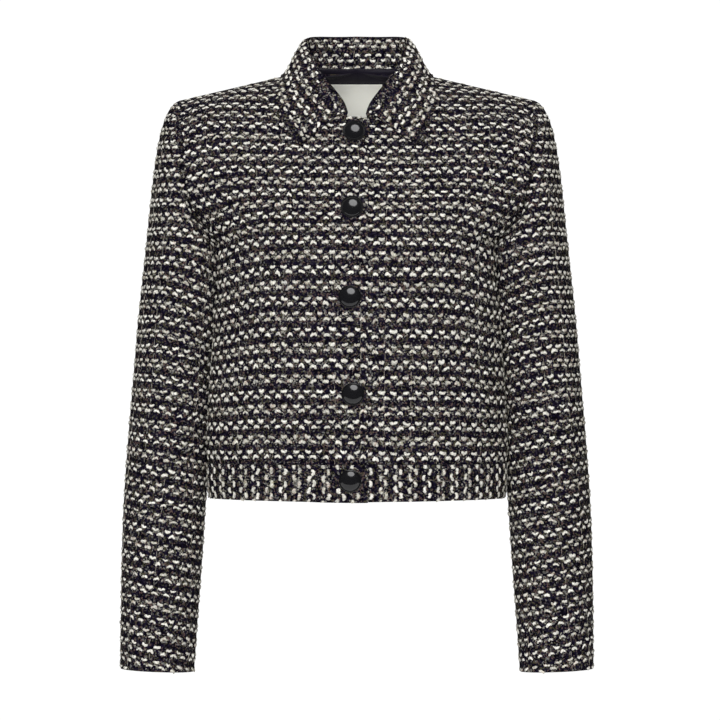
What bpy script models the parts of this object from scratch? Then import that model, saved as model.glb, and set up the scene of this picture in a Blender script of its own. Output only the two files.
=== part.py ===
"""Cropped tweed jacket, filled out as worn, hollow, with neck, hem, cuffs and armholes open.

Units are metres in Blender and millimetres in the tables. +Z is up and the front faces -Y.
The origin is on the centre line, level with the neck side of the shoulders, between front and back.
Left and right are the wearer's: the right side is -X.
"""

import math

import bpy
import numpy as np

MM = 0.001

# Cloth and seams
TWEED = 3.0            # wall of the body and sleeves
COLLAR_TWEED = 2.6
BAND_TWEED = 3.4       # the band is folded double
LINING = 1.0
LABEL = 0.8
SEAM_GAP = 0.3
CLEAR = 0.4            # gap between layers that lie on each other
LEAF_CLEAR = 1.1       # gap under the collar's leaf

# Front opening
LAP_EDGE = 11.5        # the right front reaches this far past the centre line
LAP_ROUND = 6.5        # and this much less at the neck, where its corner is rounded
UNDERLAP_EDGE = 22.0   # the left front reaches this far under it
LAP_SHIFT = 1.9        # the right front moves out and the left front in by this
LAP_FADE = (26.0, 62.0)

# Levels, as a fraction of the panel height; below 0 is the band
BAND_LOW = -0.102
BAND_SEAM = 0.0
ARMPIT = 0.55
FRONT_NECK_Z = -43.4

# Neckline
NECK_HALF_WIDTH = 68.0
NECK_SIDE_Z = 6.0
NECK_BACK_DEPTH = 50.0
NECK_SIDE_Y = 2.0

# Trunk sections from hem to shoulder seam, one row each, in millimetres:
# level, mid_y, mid_z, flat_x, turn_x, turn_y, edge_x, edge_y, edge_z.
# mid is the centre line, flat and turn shape the corner, edge is the side seam or the armhole.
FRONT_SECTIONS = (
    (-0.102, -116, -453, 104, 163.5, -70, 163.5, 0, -450.4),
    (-0.050, -119, -433, 105, 168.0, -72, 168.0, 0, -432.5),
    (0.000, -120, -413, 105, 168.5, -73, 168.5, 0, -413),
    (0.060, -122, -391, 105, 169.5, -75, 169.5, 0, -391),
    (0.200, -124, -335, 103, 166.0, -76, 166.0, 0, -335),
    (0.380, -124, -255, 100, 161.5, -75, 161.5, 0, -255),
    (0.500, -117, -200, 98, 159.5, -70, 159.5, 0, -200),
    (0.550, -112, -178, 98, 159.0, -68, 159.0, 0, -178),
    (0.600, -106, -158, 99, 164.0, -66, 163.0, -30, -164),
    (0.680, -97, -127, 99, 171.0, -65, 178.0, -49, -136),
    (0.780, -85, -92, 98, 168.0, -64, 184.0, -53, -101),
    (0.860, -69, -54, 98, 164.0, -56, 187.0, -45, -65.5),
    (0.930, -52, -18, 92, 158.0, -40, 189.0, -28, -38),
    (0.970, -30, 8, 82, 146.0, -21, 189.5, -13, -26),
    (1.000, 2, 23, 63, 126.0, 2, 189.5, 2, -21.5),
)
BACK_SECTIONS = (
    (-0.102, 97, -453, 104, 163.5, 60, 163.5, 0, -450.4),
    (-0.050, 99, -433, 105, 168.0, 62, 168.0, 0, -432.5),
    (0.000, 100, -413, 105, 168.5, 63, 168.5, 0, -413),
    (0.060, 100, -391, 105, 169.5, 64, 169.5, 0, -391),
    (0.200, 98, -335, 103, 166.0, 62, 166.0, 0, -335),
    (0.380, 101, -255, 100, 161.5, 62, 161.5, 0, -255),
    (0.500, 104, -200, 100, 159.5, 66, 159.5, 0, -200),
    (0.550, 105, -178, 100, 159.0, 68, 159.0, 0, -178),
    (0.600, 105, -158, 104, 164.0, 68, 163.0, 30, -164),
    (0.680, 102, -127, 104, 171.0, 70, 178.0, 47, -136),
    (0.780, 95, -87, 104, 168.0, 68, 184.0, 50, -101),
    (0.860, 86, -43, 102, 164.0, 60, 187.0, 42, -65.5),
    (0.930, 69, 1, 94, 158.0, 44, 189.0, 28, -38),
    (0.970, 45, 18, 82, 146.0, 24, 189.5, 15, -26),
    (1.000, 2, 23, 63, 126.0, 2, 189.5, 2, -21.5),
)

# Sleeve sections from upper arm to cuff: height, centre_x, centre_y, half_x, half_y
SLEEVE_SECTIONS = (
    (-192, 185.0, 1, 44.0, 60),
    (-255, 191.5, 0, 44.2, 57),
    (-330, 198.0, -3, 44.0, 53),
    (-400, 203.5, -7, 44.2, 50),
    (-455, 207.0, -11, 44.2, 48),
    (-522, 210.1, -17, 43.1, 46),
    (-590, 213.0, -23, 40.9, 44),
    (-633.2, 214.5, -27, 39.5, 43),
)
SLEEVE_SQUARE = 2.15   # above 2 is squarer than an ellipse
ARM_CLEAR = 2.8        # how far the body's side stands off the sleeve
ARM_SOFT = 8.0         # higher is a sharper hollow
CUFF_SLANT = 3.3       # the inner side of the cuff hangs this much lower
UNDERARM_LEAN = 0.6    # how far the sleeve leans out as it leaves the armpit
CAP_DROOP = -0.22      # how far the sleeve head falls as it leaves the armhole
CAP_TURN = 0.12        # and how far its front and back lean apart
CAP_FIRST = (0.125, 0.03)   # fullness at the armhole: all round, and more at the shoulder tip
CAP_LAST = (0.42, 0.13)     # fullness at the upper arm, in the same way
CAP_CROWD = 1.15       # above 1 crowds the rows towards the armhole
UNDER_TURN = (1.75, 2.85)   # angles round the sleeve between which its head becomes its underside

# Large soft folds, one row each: z0, x0, z1, x1, half_width, height.
# They run from (x0, z0) to (x1, z1), x is the distance from the centre line; out is positive.
FRONT_FOLDS = (
    (-186, 156, -262, 118, 13, 2.2),
    (-192, 150, -238, 138, 9, -2.0),
    (-300, 158, -392, 132, 17, 1.6),
    (-330, 120, -404, 96, 18, -1.4),
    (-372, 152, -408, 160, 10, 1.5),
    (-150, 60, -250, 74, 26, 1.6),
)
BACK_FOLDS = (
    (-180, 152, -250, 112, 14, 2.4),
    (-176, 138, -226, 128, 9, -2.0),
    (-262, 44, -400, 58, 20, 1.5),
    (-290, 118, -404, 104, 16, -1.6),
    (-366, 146, -408, 158, 10, 1.5),
)
# On the sleeves x is the angle round in degrees, 0 outside and 90 in front
SLEEVE_FOLDS = (
    (-168, 96, -232, 132, 15, 2.2),
    (-186, 78, -262, 118, 13, -1.8),
    (-330, 150, -372, 84, 11, 1.9),
    (-352, 158, -402, 100, 11, -1.7),
    (-392, 148, -432, 70, 12, 1.6),
    (-168, 262, -238, 228, 15, 2.2),
    (-338, 214, -388, 286, 12, 1.8),
    (-510, 136, -556, 60, 13, 1.3),
    (-560, 226, -604, 296, 13, 1.3),
)
SMALLER_SIDE = (0.8, 0.75, 0.85)    # folds of the left front, the left half of the back, the right sleeve

# Half the collar from centre back to its front end, one row a station:
# seat, fold_x, fold_y, fold_z, edge_x, edge_z. seat is the share of the half neckline,
# fold is the top of the roll, edge is where the leaf ends on the body.
COLLAR_STATIONS = (
    (0.00, 0, 58, 51, 0, -10),
    (0.12, 22, 56, 50.5, 34, -9),
    (0.24, 42.5, 46, 50, 59, -7),
    (0.36, 53, 28, 47.5, 75.5, -3),
    (0.47, 54.5, 4, 41.5, 81.5, 0),
    (0.58, 51, -18, 28.5, 83.5, -14),
    (0.68, 43.5, -37, 13, 83.5, -31),
    (0.78, 33.5, -51, -2, 79, -46),
    (0.88, 22.5, -60, -16, 72.5, -59),
    (0.95, 14.5, -66, -28, 67, -68),
    (1.00, 10.5, -69, -38, 61, -75.5),
)
BACK_STATIONS = 4      # the first stations have their edge on the back
COLLAR_END_X = 10.5    # the collar ends this far from the centre line
FRONT_SEATS = 0.5      # past this share of the neckline the collar sits on the lapping fronts
FOLD_TURN = (5.0, 9.0)      # roundness of the roll, inside and outside
FOLD_LIMIT = (0.42, 0.3)    # but no more than this share of the stand and of the fall
STAND_LEAVE = 0.4      # how stiffly the stand leaves the seam
LEAF_LAND = (0.35, 0.05)    # how flat the leaf comes down, back along it and up
SAMPLE_STEPS = 5       # points along each step of a panel when the collar is laid on it
FACET_STEPS = 3        # and along each step of the collar
LIFT_PASSES = 3
BAND_PROUD = 1.0       # the band's outer face stands this much proud of the panels

# Buttons: dome with a thin rim
BUTTON_RADIUS = 12.0
BUTTON_HEIGHT = 7.4
BUTTON_RIM = 1.3
BUTTON_WALL = (1.2, 2.4, 3.0, 2.6)  # heights: underside's corner, side, rim's crest, foot of the dome
BUTTON_BACK = 0.86     # share of the radius that is flat at the back
DOME_STEPS = 6
BUTTON_SIDES = 28
BUTTON_LIFT = 0.45     # back of the button off the cloth
BUTTONS = (            # across and up, in millimetres
    (-3.0, -59.9),
    (-5.2, -141.3),
    (-7.4, -236.1),
    (-4.2, -338.2),
    (-7.2, -429.6),
)

# Label and lining inside the back neck
LABEL_X = -1.0
LABEL_HALF_WIDTH = 29.5
LABEL_TOP_Z = 2.0
LABEL_LOW_Z = -43.0
LABEL_GRID = (9, 7)
LINING_FIRST_ROW = 12  # the lining starts at this row of the back
LINING_PAST_NECK = 3   # and reaches this many columns past the neckline

# Mesh steps
ROWS_BELOW_ARMPIT = 9
ROWS_ABOVE_ARMPIT = 12
FRONT_ROWS_TO_NECK = 15
ACROSS_FRONT = 15
ACROSS_BACK_NECK = 6
ACROSS_BACK_SHOULDER = 8
CAP_ROWS = 6
TUBE_ROWS = 12
SEAM_STEP = 8          # the sleeve's seams, in steps from the shoulder tip
BAND_ROWS = 4
STAND_STEPS = 4
FALL_STEPS = 7
COLLAR_STEPS = 15      # along half the collar

RIGHT, LEFT = -1.0, 1.0
MIRROR = np.array([-1, 1, 1])
HALVINGS = 40          # steps of each search by halving
PASSES = 12            # passes of each search that takes two unknowns in turn


# ---------------------------------------------------------------- small maths

def spline(rows, at):
    """Smooth curve through the rows; the first column is the parameter."""
    table = np.array(rows, float)
    knots, values = table[:, 0], table[:, 1:]
    at = np.atleast_1d(np.asarray(at, float))
    slopes = np.gradient(values, knots, axis=0)
    i = np.clip(np.searchsorted(knots, at) - 1, 0, len(knots) - 2)
    span = (knots[i + 1] - knots[i])[:, None]
    t = ((at - knots[i])[:, None]) / span
    a, b = values[i], values[i + 1]
    da, db = slopes[i] * span, slopes[i + 1] * span
    return ((2 * t**3 - 3 * t**2 + 1) * a + (t**3 - 2 * t**2 + t) * da
            + (3 * t**2 - 2 * t**3) * b + (t**3 - t**2) * db)


def bezier(p0, p1, p2, p3, t):
    """Cubic between p0 and p3; t is broadcast."""
    s = 1 - t
    return s**3 * p0 + 3 * s**2 * t * p1 + 3 * s * t**2 * p2 + t**3 * p3


def smooth_step(low, high, x):
    t = np.clip((x - low) / (high - low), 0, 1)
    return t * t * (3 - 2 * t)


def unit(v):
    return v / np.maximum(np.linalg.norm(v, axis=-1, keepdims=True), 1e-9)


def fold_height(folds, height, across):
    """Sum of the soft ridges and troughs at a height and a distance round."""
    total = np.zeros_like(across, dtype=float)
    for z0, x0, z1, x1, half_width, rise in folds:
        run = np.array([z1 - z0, x1 - x0], float)
        share = ((height - z0) * run[0] + (across - x0) * run[1]) / (run @ run)
        off = np.hypot(height - z0 - share * run[0], across - x0 - share * run[1])
        ends = np.clip(share + 0.12, 0, 1.24) / 1.24
        total += rise * np.exp(-(off / half_width) ** 2) * np.sin(np.pi * ends) ** 1.5
    return total


# ---------------------------------------------------------------- sleeve sections

def sleeve_section(z):
    """Centre and half sizes of the sleeve at a height, for the left side."""
    top, low = SLEEVE_SECTIONS[0][0], SLEEVE_SECTIONS[-1][0]
    rows = [(-row[0],) + row[1:] for row in SLEEVE_SECTIONS]
    return spline(rows, -np.clip(z, low, top))


def beside_the_arm(points, weight):
    """Hollows the body's side so that it stands just clear of the hanging sleeve."""
    cx, cy, hx, hy = sleeve_section(points[..., 2].ravel()).T.reshape((4,) + points.shape[:-1])
    hx, hy = hx + ARM_CLEAR, hy + ARM_CLEAR
    dx, dy = (np.abs(points[..., 0]) - cx) / hx, (points[..., 1] - cy) / hy
    near = np.maximum(np.hypot(dx, dy), 1e-6)
    pushed = (near**ARM_SOFT + 1) ** (1 / ARM_SOFT) / near
    scale = 1 + (pushed - 1) * weight
    moved = points.copy()
    moved[..., 0] = np.sign(points[..., 0]) * (cx + dx * scale * hx)
    moved[..., 1] = cy + dy * scale * hy
    return moved


# ---------------------------------------------------------------- trunk surface

def trunk(sections, u, level, side):
    """Point on the trunk; u is 0 at the centre line and 1 at the side seam or armhole."""
    u, level = np.broadcast_arrays(np.asarray(u, float), np.asarray(level, float))
    row = spline(sections, level.ravel()).T.reshape((8,) + u.shape)
    mid_y, mid_z, flat_x, turn_x, turn_y, edge_x, edge_y, edge_z = row
    t = np.abs(u)
    x = bezier(0 * t, flat_x, turn_x, edge_x, t)
    y = bezier(mid_y, mid_y, turn_y, edge_y, t)
    z = mid_z + (edge_z - mid_z) * x / edge_x
    points = np.stack([x, y, z], axis=-1)
    weight = 1 - smooth_step(ARMPIT, ARMPIT + 0.09, level)
    points = beside_the_arm(points, weight)
    points[..., 0] = np.where(u < 0, -points[..., 0], points[..., 0]) * side
    return points


def front(u, level, side):
    return trunk(FRONT_SECTIONS, u, level, side)


def back(u, level, side):
    return trunk(BACK_SECTIONS, u, level, side)


def u_where(surface, level, test):
    """The share across at which test(point) passes zero, one for each level."""
    low, high = np.zeros_like(level), np.ones_like(level)
    for _ in range(HALVINGS):
        middle = (low + high) / 2
        inside = test(surface(middle, level, LEFT)) < 0
        low = np.where(inside, middle, low)
        high = np.where(inside, high, middle)
    return (low + high) / 2


def in_front_neck(p):
    rise = (p[..., 2] - NECK_SIDE_Z) / (NECK_SIDE_Z - FRONT_NECK_Z)
    return (p[..., 0] / NECK_HALF_WIDTH) ** 2 + rise**2 - 1


def in_back_neck(p):
    reach = (p[..., 1] - NECK_SIDE_Y) / NECK_BACK_DEPTH
    return (p[..., 0] / NECK_HALF_WIDTH) ** 2 + reach**2 - 1


def level_where(surface, u, column, value, low=ARMPIT):
    """Level between low and the shoulder at which a line up the panel reaches a value of y (1) or z (2)."""
    high = 1.0
    sign = np.sign(surface(u, high, LEFT)[column] - value)
    for _ in range(HALVINGS):
        middle = (low + high) / 2
        if sign * (surface(u, middle, LEFT)[column] - value) < 0:
            low = middle
        else:
            high = middle
    return (low + high) / 2


FRONT_NECK_LEVEL = level_where(front, 0, 2, FRONT_NECK_Z)
BACK_NECK_LEVEL = level_where(back, 0, 1, NECK_SIDE_Y + NECK_BACK_DEPTH)


def neck_curve(surface, test, first_level, count):
    """(u, level) pairs along half the neckline, evenly spaced, from the centre to the shoulder."""
    levels = first_level + (1 - first_level) * np.linspace(0, 1, 400) ** 2
    u = u_where(surface, levels, test)
    points = surface(u, levels, LEFT)
    length = np.concatenate([[0], np.cumsum(np.linalg.norm(np.diff(points, axis=0), axis=1))])
    wanted = np.linspace(0, length[-1], count)
    return np.interp(wanted, length, u), np.interp(wanted, length, levels)


def armhole_levels(count):
    """Levels along the armhole, evenly spaced by its length on the front."""
    levels = np.linspace(ARMPIT, 1, 300)
    points = front(np.ones(300), levels, LEFT)
    length = np.concatenate([[0], np.cumsum(np.linalg.norm(np.diff(points, axis=0), axis=1))])
    return np.interp(np.linspace(0, length[-1], count), length, levels)


# ---------------------------------------------------------------- walls

def new_object(name, vertices, faces, material, location=(0, 0, 0)):
    mesh = bpy.data.meshes.new(name)
    mesh.from_pydata([tuple(v) for v in vertices], [], faces)
    mesh.validate()
    mesh.shade_smooth()
    mesh.set_sharp_from_angle(angle=math.radians(40))
    piece = bpy.data.objects.new(name, mesh)
    piece.location = location
    mesh.materials.append(material)
    bpy.context.scene.collection.objects.link(piece)
    return piece


def wall(name, outer, inner, material, other_diagonal=False):
    """Closed solid between two grids of points in millimetres.

    other_diagonal turns the diagonals on the edge of the last column, where its neighbour's run so.
    """
    columns, rows = outer.shape[:2]
    count = columns * rows
    outer_side = np.arange(count).reshape(columns, rows)
    inner_side = outer_side + count
    faces = []

    def strip(a, b, turned=False):
        """Two triangles a step; layers on one grid share their diagonals."""
        for k in range(len(a) - 1):
            pair = ((a[k], b[k], b[k + 1]), (a[k], b[k + 1], a[k + 1]))
            faces.extend(tuple(int(n) for n in (t[::-1] if turned else t)) for t in pair)

    for i in range(columns - 1):
        strip(outer_side[i], outer_side[i + 1])
        strip(inner_side[i], inner_side[i + 1], turned=True)
    strip(outer_side[0], inner_side[0], turned=True)
    if other_diagonal:
        strip(inner_side[-1], outer_side[-1], turned=True)
    else:
        strip(outer_side[-1], inner_side[-1])
    strip(outer_side[:, 0], inner_side[:, 0])
    strip(outer_side[:, -1], inner_side[:, -1], turned=True)
    vertices = np.concatenate([outer.reshape(-1, 3), inner.reshape(-1, 3)]) * MM
    if signed_volume(vertices, faces) < 0:
        faces = [face[::-1] for face in faces]
    return new_object(name, vertices, faces, material)


def signed_volume(vertices, faces):
    corners = vertices[np.array(faces)]
    return np.sum(corners[:, 0] * np.cross(corners[:, 1], corners[:, 2])) / 6


def surface_finish(name, colour, roughness, metallic=0.0):
    material = bpy.data.materials.new(name)
    material.use_nodes = True
    shader = material.node_tree.nodes["Principled BSDF"]
    shader.inputs["Base Color"].default_value = (*colour, 1)
    shader.inputs["Roughness"].default_value = roughness
    shader.inputs["Metallic"].default_value = metallic
    return material


# ---------------------------------------------------------------- panel grids

def side_levels():
    """Levels down the side seam and round the armhole, shared by front, back and sleeve."""
    below = np.linspace(BAND_SEAM, ARMPIT, ROWS_BELOW_ARMPIT + 1)
    return np.concatenate([below, armhole_levels(ROWS_ABOVE_ARMPIT + 1)[1:]])


def opening_u(levels, side):
    """Share across at the front edge; negative, because each front passes the centre."""
    near_neck = smooth_step(FRONT_NECK_LEVEL - 0.09, FRONT_NECK_LEVEL, levels)
    reach = LAP_EDGE - LAP_ROUND * near_neck if side == RIGHT else UNDERLAP_EDGE + 0 * levels
    return -u_where(front, levels, lambda p: p[..., 0] - reach)


def front_grid(side):
    """Shares and levels of one front: columns from its edge to the side, rows from band to shoulder."""
    neck_points = ROWS_BELOW_ARMPIT + ROWS_ABOVE_ARMPIT - FRONT_ROWS_TO_NECK
    levels = np.linspace(BAND_SEAM, FRONT_NECK_LEVEL, FRONT_ROWS_TO_NECK + 1)
    neck_u, neck_levels = neck_curve(front, in_front_neck, FRONT_NECK_LEVEL, neck_points)
    inner_u = np.concatenate([opening_u(levels, side), neck_u])
    inner_level = np.concatenate([levels, neck_levels])
    share = np.linspace(0, 1, ACROSS_FRONT + 1)[:, None]
    return inner_u + (1 - inner_u) * share, inner_level + (side_levels() - inner_level) * share


def back_grid():
    """Shares and levels of half the back: columns from the centre to the side, rows upwards."""
    neck_u, neck_level = neck_curve(back, in_back_neck, BACK_NECK_LEVEL, ACROSS_BACK_NECK + 1)
    shoulder_u = np.linspace(neck_u[-1], 1, ACROSS_BACK_SHOULDER + 1)
    top_u = np.concatenate([neck_u, shoulder_u[1:]])[:, None]
    top_level = np.concatenate([neck_level, np.ones(ACROSS_BACK_SHOULDER)])[:, None]
    low_u = np.linspace(0, 1, len(top_u))[:, None]
    rise = side_levels()
    return low_u + (top_u - low_u) * rise, top_level * rise


def lap_shift(points, side):
    """The right front lies on the left one, so they part by a little near the centre."""
    fade = 1 - smooth_step(*LAP_FADE, np.abs(points[..., 0]))
    return (LAP_SHIFT if side == RIGHT else -LAP_SHIFT) * fade


def raised_front(points, normals, side, lift=0.0):
    share = 1.0 if side == RIGHT else SMALLER_SIDE[0]
    folds = fold_height(FRONT_FOLDS, points[..., 2], np.abs(points[..., 0])) * share
    return points + normals * (lap_shift(points, side) + folds + lift)[..., None]


def raised_back(points, normals, lift=0.0):
    share = np.where(points[..., 0] < 0, 1.0, SMALLER_SIDE[1])
    folds = fold_height(BACK_FOLDS, points[..., 2], np.abs(points[..., 0])) * share
    return points + normals * (folds + lift)[..., None]


def outward(points):
    """Unit normals of a grid, turned away from the trunk's middle."""
    normals = unit(np.cross(np.gradient(points, axis=0), np.gradient(points, axis=1)))
    middle = np.array([0, 0, -200.0])
    facing = np.sum(normals * (points - middle), axis=-1).mean()
    return normals * np.sign(facing)


def shoulder_normal(side):
    """Shared direction of the shoulder seam's edges."""
    top = FRONT_SECTIONS[-1]
    slope = (top[2] - top[8]) / top[6]
    return unit(np.array([side * slope, 0, 1.0]))


def front_cloth(side):
    """Outer points and normals of one front."""
    u, level = front_grid(side)
    points = front(u, level, side)
    normals = outward(points)
    normals[:, -1] = shoulder_normal(side)
    normals[-1, :ROWS_BELOW_ARMPIT + 1] = (side, 0, 0)
    return raised_front(points, normals, side), normals


def back_cloth():
    """Outer points and normals of the back, from the left side to the right."""
    u, level = back_grid()
    half = back(u, level, LEFT)
    points = np.concatenate([half[::-1], half[1:] * MIRROR])
    normals = outward(points)
    normals[:ACROSS_BACK_SHOULDER + 1, -1] = shoulder_normal(LEFT)
    normals[-ACROSS_BACK_SHOULDER - 1:, -1] = shoulder_normal(RIGHT)
    normals[0, :ROWS_BELOW_ARMPIT + 1] = (LEFT, 0, 0)
    normals[-1, :ROWS_BELOW_ARMPIT + 1] = (RIGHT, 0, 0)
    return raised_back(points, normals), normals


# ---------------------------------------------------------------- sleeves

def armhole_ring(side):
    """Armhole points from the shoulder tip down the front to the armpit and up the back."""
    levels = armhole_levels(ROWS_ABOVE_ARMPIT + 1)[::-1]
    ahead = front(np.ones(len(levels)), levels, side)
    behind = back(np.ones(len(levels)), levels[::-1], side)
    return np.concatenate([ahead, behind[1:]])


def ring_angles(ring):
    """Angle round the sleeve for each armhole point, 0 at the tip and pi at the armpit."""
    half = len(ring) // 2
    steps = np.linalg.norm(np.diff(ring, axis=0), axis=1)
    ahead = np.concatenate([[0], np.cumsum(steps[:half])])
    behind = np.concatenate([[0], np.cumsum(steps[half:])])
    return np.concatenate([ahead / ahead[-1] * math.pi, math.pi + behind[1:] / behind[-1] * math.pi])


def sleeve_ring(z, angles, side):
    """Points of the sleeve at a height; the cuff hangs lower on its inner side."""
    cx, cy, hx, hy = sleeve_section(np.array([z]))[0]
    c, s = np.cos(angles), np.sin(angles)
    power = 2 / SLEEVE_SQUARE
    x = cx + hx * np.sign(c) * np.abs(c) ** power
    y = cy - hy * np.sign(s) * np.abs(s) ** power
    slant = CUFF_SLANT * smooth_step(SLEEVE_SECTIONS[-3][0], SLEEVE_SECTIONS[-1][0], z)
    drop = slant * (0.5 - 0.5 * c)
    return np.stack([x * side, y, z - drop], axis=-1)


def sleeve_points(side):
    """Grid of the sleeve's outer points: columns round it, rows from armhole to cuff."""
    ring = armhole_ring(side)
    angles = ring_angles(ring)
    top = SLEEVE_SECTIONS[0][0]
    bicep = sleeve_ring(top, angles, side)
    below = sleeve_ring(top - 10.0, angles, side)
    reach = np.linalg.norm(bicep - ring, axis=1, keepdims=True)
    under = smooth_step(*UNDER_TURN, math.pi - np.abs(angles - math.pi))[:, None]
    facing = np.sin(angles)[:, None]
    out = np.array([side, 0, CAP_DROOP]) + facing * np.array([0, CAP_TURN, 0])
    leave = unit(out * (1 - under) + np.array([side * UNDERARM_LEAN, 0, -1.0]) * under)
    crown = 0.5 + 0.5 * np.cos(angles)[:, None]
    first = ring + leave * reach * (CAP_FIRST[0] + CAP_FIRST[1] * crown)
    last = bicep + unit(bicep - below) * reach * (CAP_LAST[0] + CAP_LAST[1] * crown)
    share = (np.linspace(0, 1, CAP_ROWS + 1) ** CAP_CROWD)[None, :, None]
    cap = bezier(ring[:, None], first[:, None], last[:, None], bicep[:, None], share)
    heights = np.linspace(top, SLEEVE_SECTIONS[-1][0], TUBE_ROWS + 1)[1:]
    tube = np.stack([sleeve_ring(z, angles, side) for z in heights], axis=1)
    return np.concatenate([cap, tube], axis=1), angles


def sleeve_normals(points, side):
    """Outward normals of the closed sleeve grid; its first and last columns are one line."""
    wrapped = np.concatenate([points[-2:-1], points, points[1:2]])
    across = np.gradient(wrapped, axis=0)[1:-1]
    along = np.gradient(points, axis=1)
    normals = unit(np.cross(across, along))
    middle = points.mean(axis=0, keepdims=True)
    facing = np.sum(normals * (points - middle), axis=-1).mean()
    return normals * np.sign(facing)


def armhole_seam(side):
    """Round the armhole: the direction of the cut edges, and half the gap from seam to sleeve."""
    points, _ = sleeve_points(side)
    sleeve = sleeve_normals(points, side)[:, 0]
    ahead = front_cloth(side)[1][-1, ROWS_BELOW_ARMPIT:][::-1]
    column = 0 if side == LEFT else -1
    behind = back_cloth()[1][column, ROWS_BELOW_ARMPIT:]
    body = np.concatenate([ahead, behind[1:]])
    mitre = sleeve + body
    middle = len(mitre) // 2
    mitre[middle] = (0, 0, -1)
    ring = armhole_ring(side)
    along = tangents(ring)
    mitre -= along * np.sum(mitre * along, axis=1, keepdims=True)
    mitre[0] = mitre[-1] = shoulder_normal(side)
    mitre = unit(mitre)
    along[0] = along[-1] = (0, -1, 0)
    return mitre, across_seam_of(along, mitre, np.array([side, 0, 0])) * SEAM_GAP / 2


def sleeve_cloth(side):
    points, angles = sleeve_points(side)
    normals = sleeve_normals(points, side)
    turn = np.degrees(angles)[:, None] + 0 * points[..., 2]
    folds = fold_height(SLEEVE_FOLDS, points[..., 2], turn)
    fade = smooth_step(0, 3, np.arange(points.shape[1]))[None, :]
    amount = 1.0 if side == LEFT else SMALLER_SIDE[2]
    raised = points + normals * (folds * fade * amount)[..., None]
    normals[:, 0], apart = armhole_seam(side)
    return raised, normals, apart


def add_sleeve(side, material):
    """A top and an under half, each a wall with the seams parted by the gap."""
    points, normals, apart = sleeve_cloth(side)
    steps = len(points) - 1
    name = "right" if side == RIGHT else "left"
    over = np.r_[steps - SEAM_STEP:steps, 0:SEAM_STEP + 1]
    under = np.arange(SEAM_STEP, steps - SEAM_STEP + 1)
    for part, columns in (("top", over), ("under", under)):
        outer = points[columns]
        shift = seam_shift(outer, normals[columns], ("first column", "last column"))
        shift[:, 0] += apart[columns]
        inner = outer - normals[columns] * TWEED
        wall(f"sleeve_{part}_{name}", outer + shift, inner + shift, material)


# ---------------------------------------------------------------- body pieces

def tangents(line):
    """Direction along a line of points, at each point."""
    return unit(np.concatenate([line[1:2] - line[:1], line[2:] - line[:-2], line[-1:] - line[-2:-1]]))


def across_seam_of(along, normals, towards):
    across = unit(np.cross(along, normals))
    return across * np.sign(np.sum(across * towards, axis=-1, keepdims=True))


def across_seam(line, normals, towards):
    """Direction in the cloth across a seam; both pieces of the seam get the same, turned about."""
    return across_seam_of(tangents(line), normals, towards)


def seam_shift(outer, normals, seams):
    """How far the points of each seam edge are drawn in, by half the gap."""
    half = SEAM_GAP / 2
    shift = np.zeros_like(outer)
    if "first column" in seams:
        shift[0] += across_seam(outer[0], normals[0], outer[1] - outer[0]) * half
    if "last column" in seams:
        shift[-1] += across_seam(outer[-1], normals[-1], outer[-2] - outer[-1]) * half
    if "first row" in seams:
        shift[:, 0] += across_seam(outer[:, 0], normals[:, 0], outer[:, 1] - outer[:, 0]) * half
    if "last row" in seams:
        shift[:, -1] += across_seam(outer[:, -1], normals[:, -1], outer[:, -2] - outer[:, -1]) * half
    return shift


def side_seam_shift(line, normals, towards):
    """Draws in the side seam, up to the armpit."""
    shift = across_seam(line, normals, towards) * SEAM_GAP / 2
    shift[ROWS_BELOW_ARMPIT:] = 0
    return shift


def add_front(side, material):
    outer, normals = front_cloth(side)
    mitre, apart = armhole_seam(side)
    normals[-1, ROWS_BELOW_ARMPIT:] = mitre[:ROWS_ABOVE_ARMPIT + 1][::-1]
    shift = seam_shift(outer, normals, ("first row", "last row"))
    shift[-1] += side_seam_shift(outer[-1], normals[-1], np.array([0, -1.0, 0]))
    shift[-1, ROWS_BELOW_ARMPIT:] -= apart[:ROWS_ABOVE_ARMPIT + 1][::-1]
    name = "front_right" if side == RIGHT else "front_left"
    wall(name, outer + shift, outer - normals * TWEED + shift, material, other_diagonal=True)


def add_back(material):
    outer, normals = back_cloth()
    shift = seam_shift(outer, normals, ("first row", "last row"))
    for column, side in ((0, LEFT), (-1, RIGHT)):
        mitre, apart = armhole_seam(side)
        normals[column, ROWS_BELOW_ARMPIT:] = mitre[ROWS_ABOVE_ARMPIT:]
        shift[column] += side_seam_shift(outer[column], normals[column], np.array([0, 1.0, 0]))
        shift[column, ROWS_BELOW_ARMPIT:] -= apart[ROWS_ABOVE_ARMPIT:]
    wall("back", outer + shift, outer - normals * TWEED + shift, material)


def band_cloth(surface, u, side):
    """Band under a panel: the same sections carried down to the hem, a little proud."""
    level = np.linspace(BAND_LOW, BAND_SEAM, BAND_ROWS + 1)[None, :] + 0 * u
    points = surface(u, level, side)
    return points, outward(points)


def add_bands(material):
    for side, name in ((RIGHT, "band_right"), (LEFT, "band_left")):
        u = front_grid(side)[0][:, :1]
        points, normals = band_cloth(front, u, side)
        normals[-1] = (side, 0, 0)
        outer = raised_front(points, normals, side, BAND_PROUD)
        shift = seam_shift(outer, normals, ("last column", "last row"))
        wall(name, outer + shift, outer - normals * BAND_TWEED + shift, material)
    u = back_grid()[0][:, :1]
    half, _ = band_cloth(back, u, LEFT)
    points = np.concatenate([half[::-1], half[1:] * MIRROR])
    normals = outward(points)
    normals[0], normals[-1] = (LEFT, 0, 0), (RIGHT, 0, 0)
    outer = raised_back(points, normals, BAND_PROUD)
    shift = seam_shift(outer, normals, ("first column", "last column", "last row"))
    wall("band_back", outer + shift, outer - normals * BAND_TWEED + shift, material)


# ---------------------------------------------------------------- collar

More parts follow.
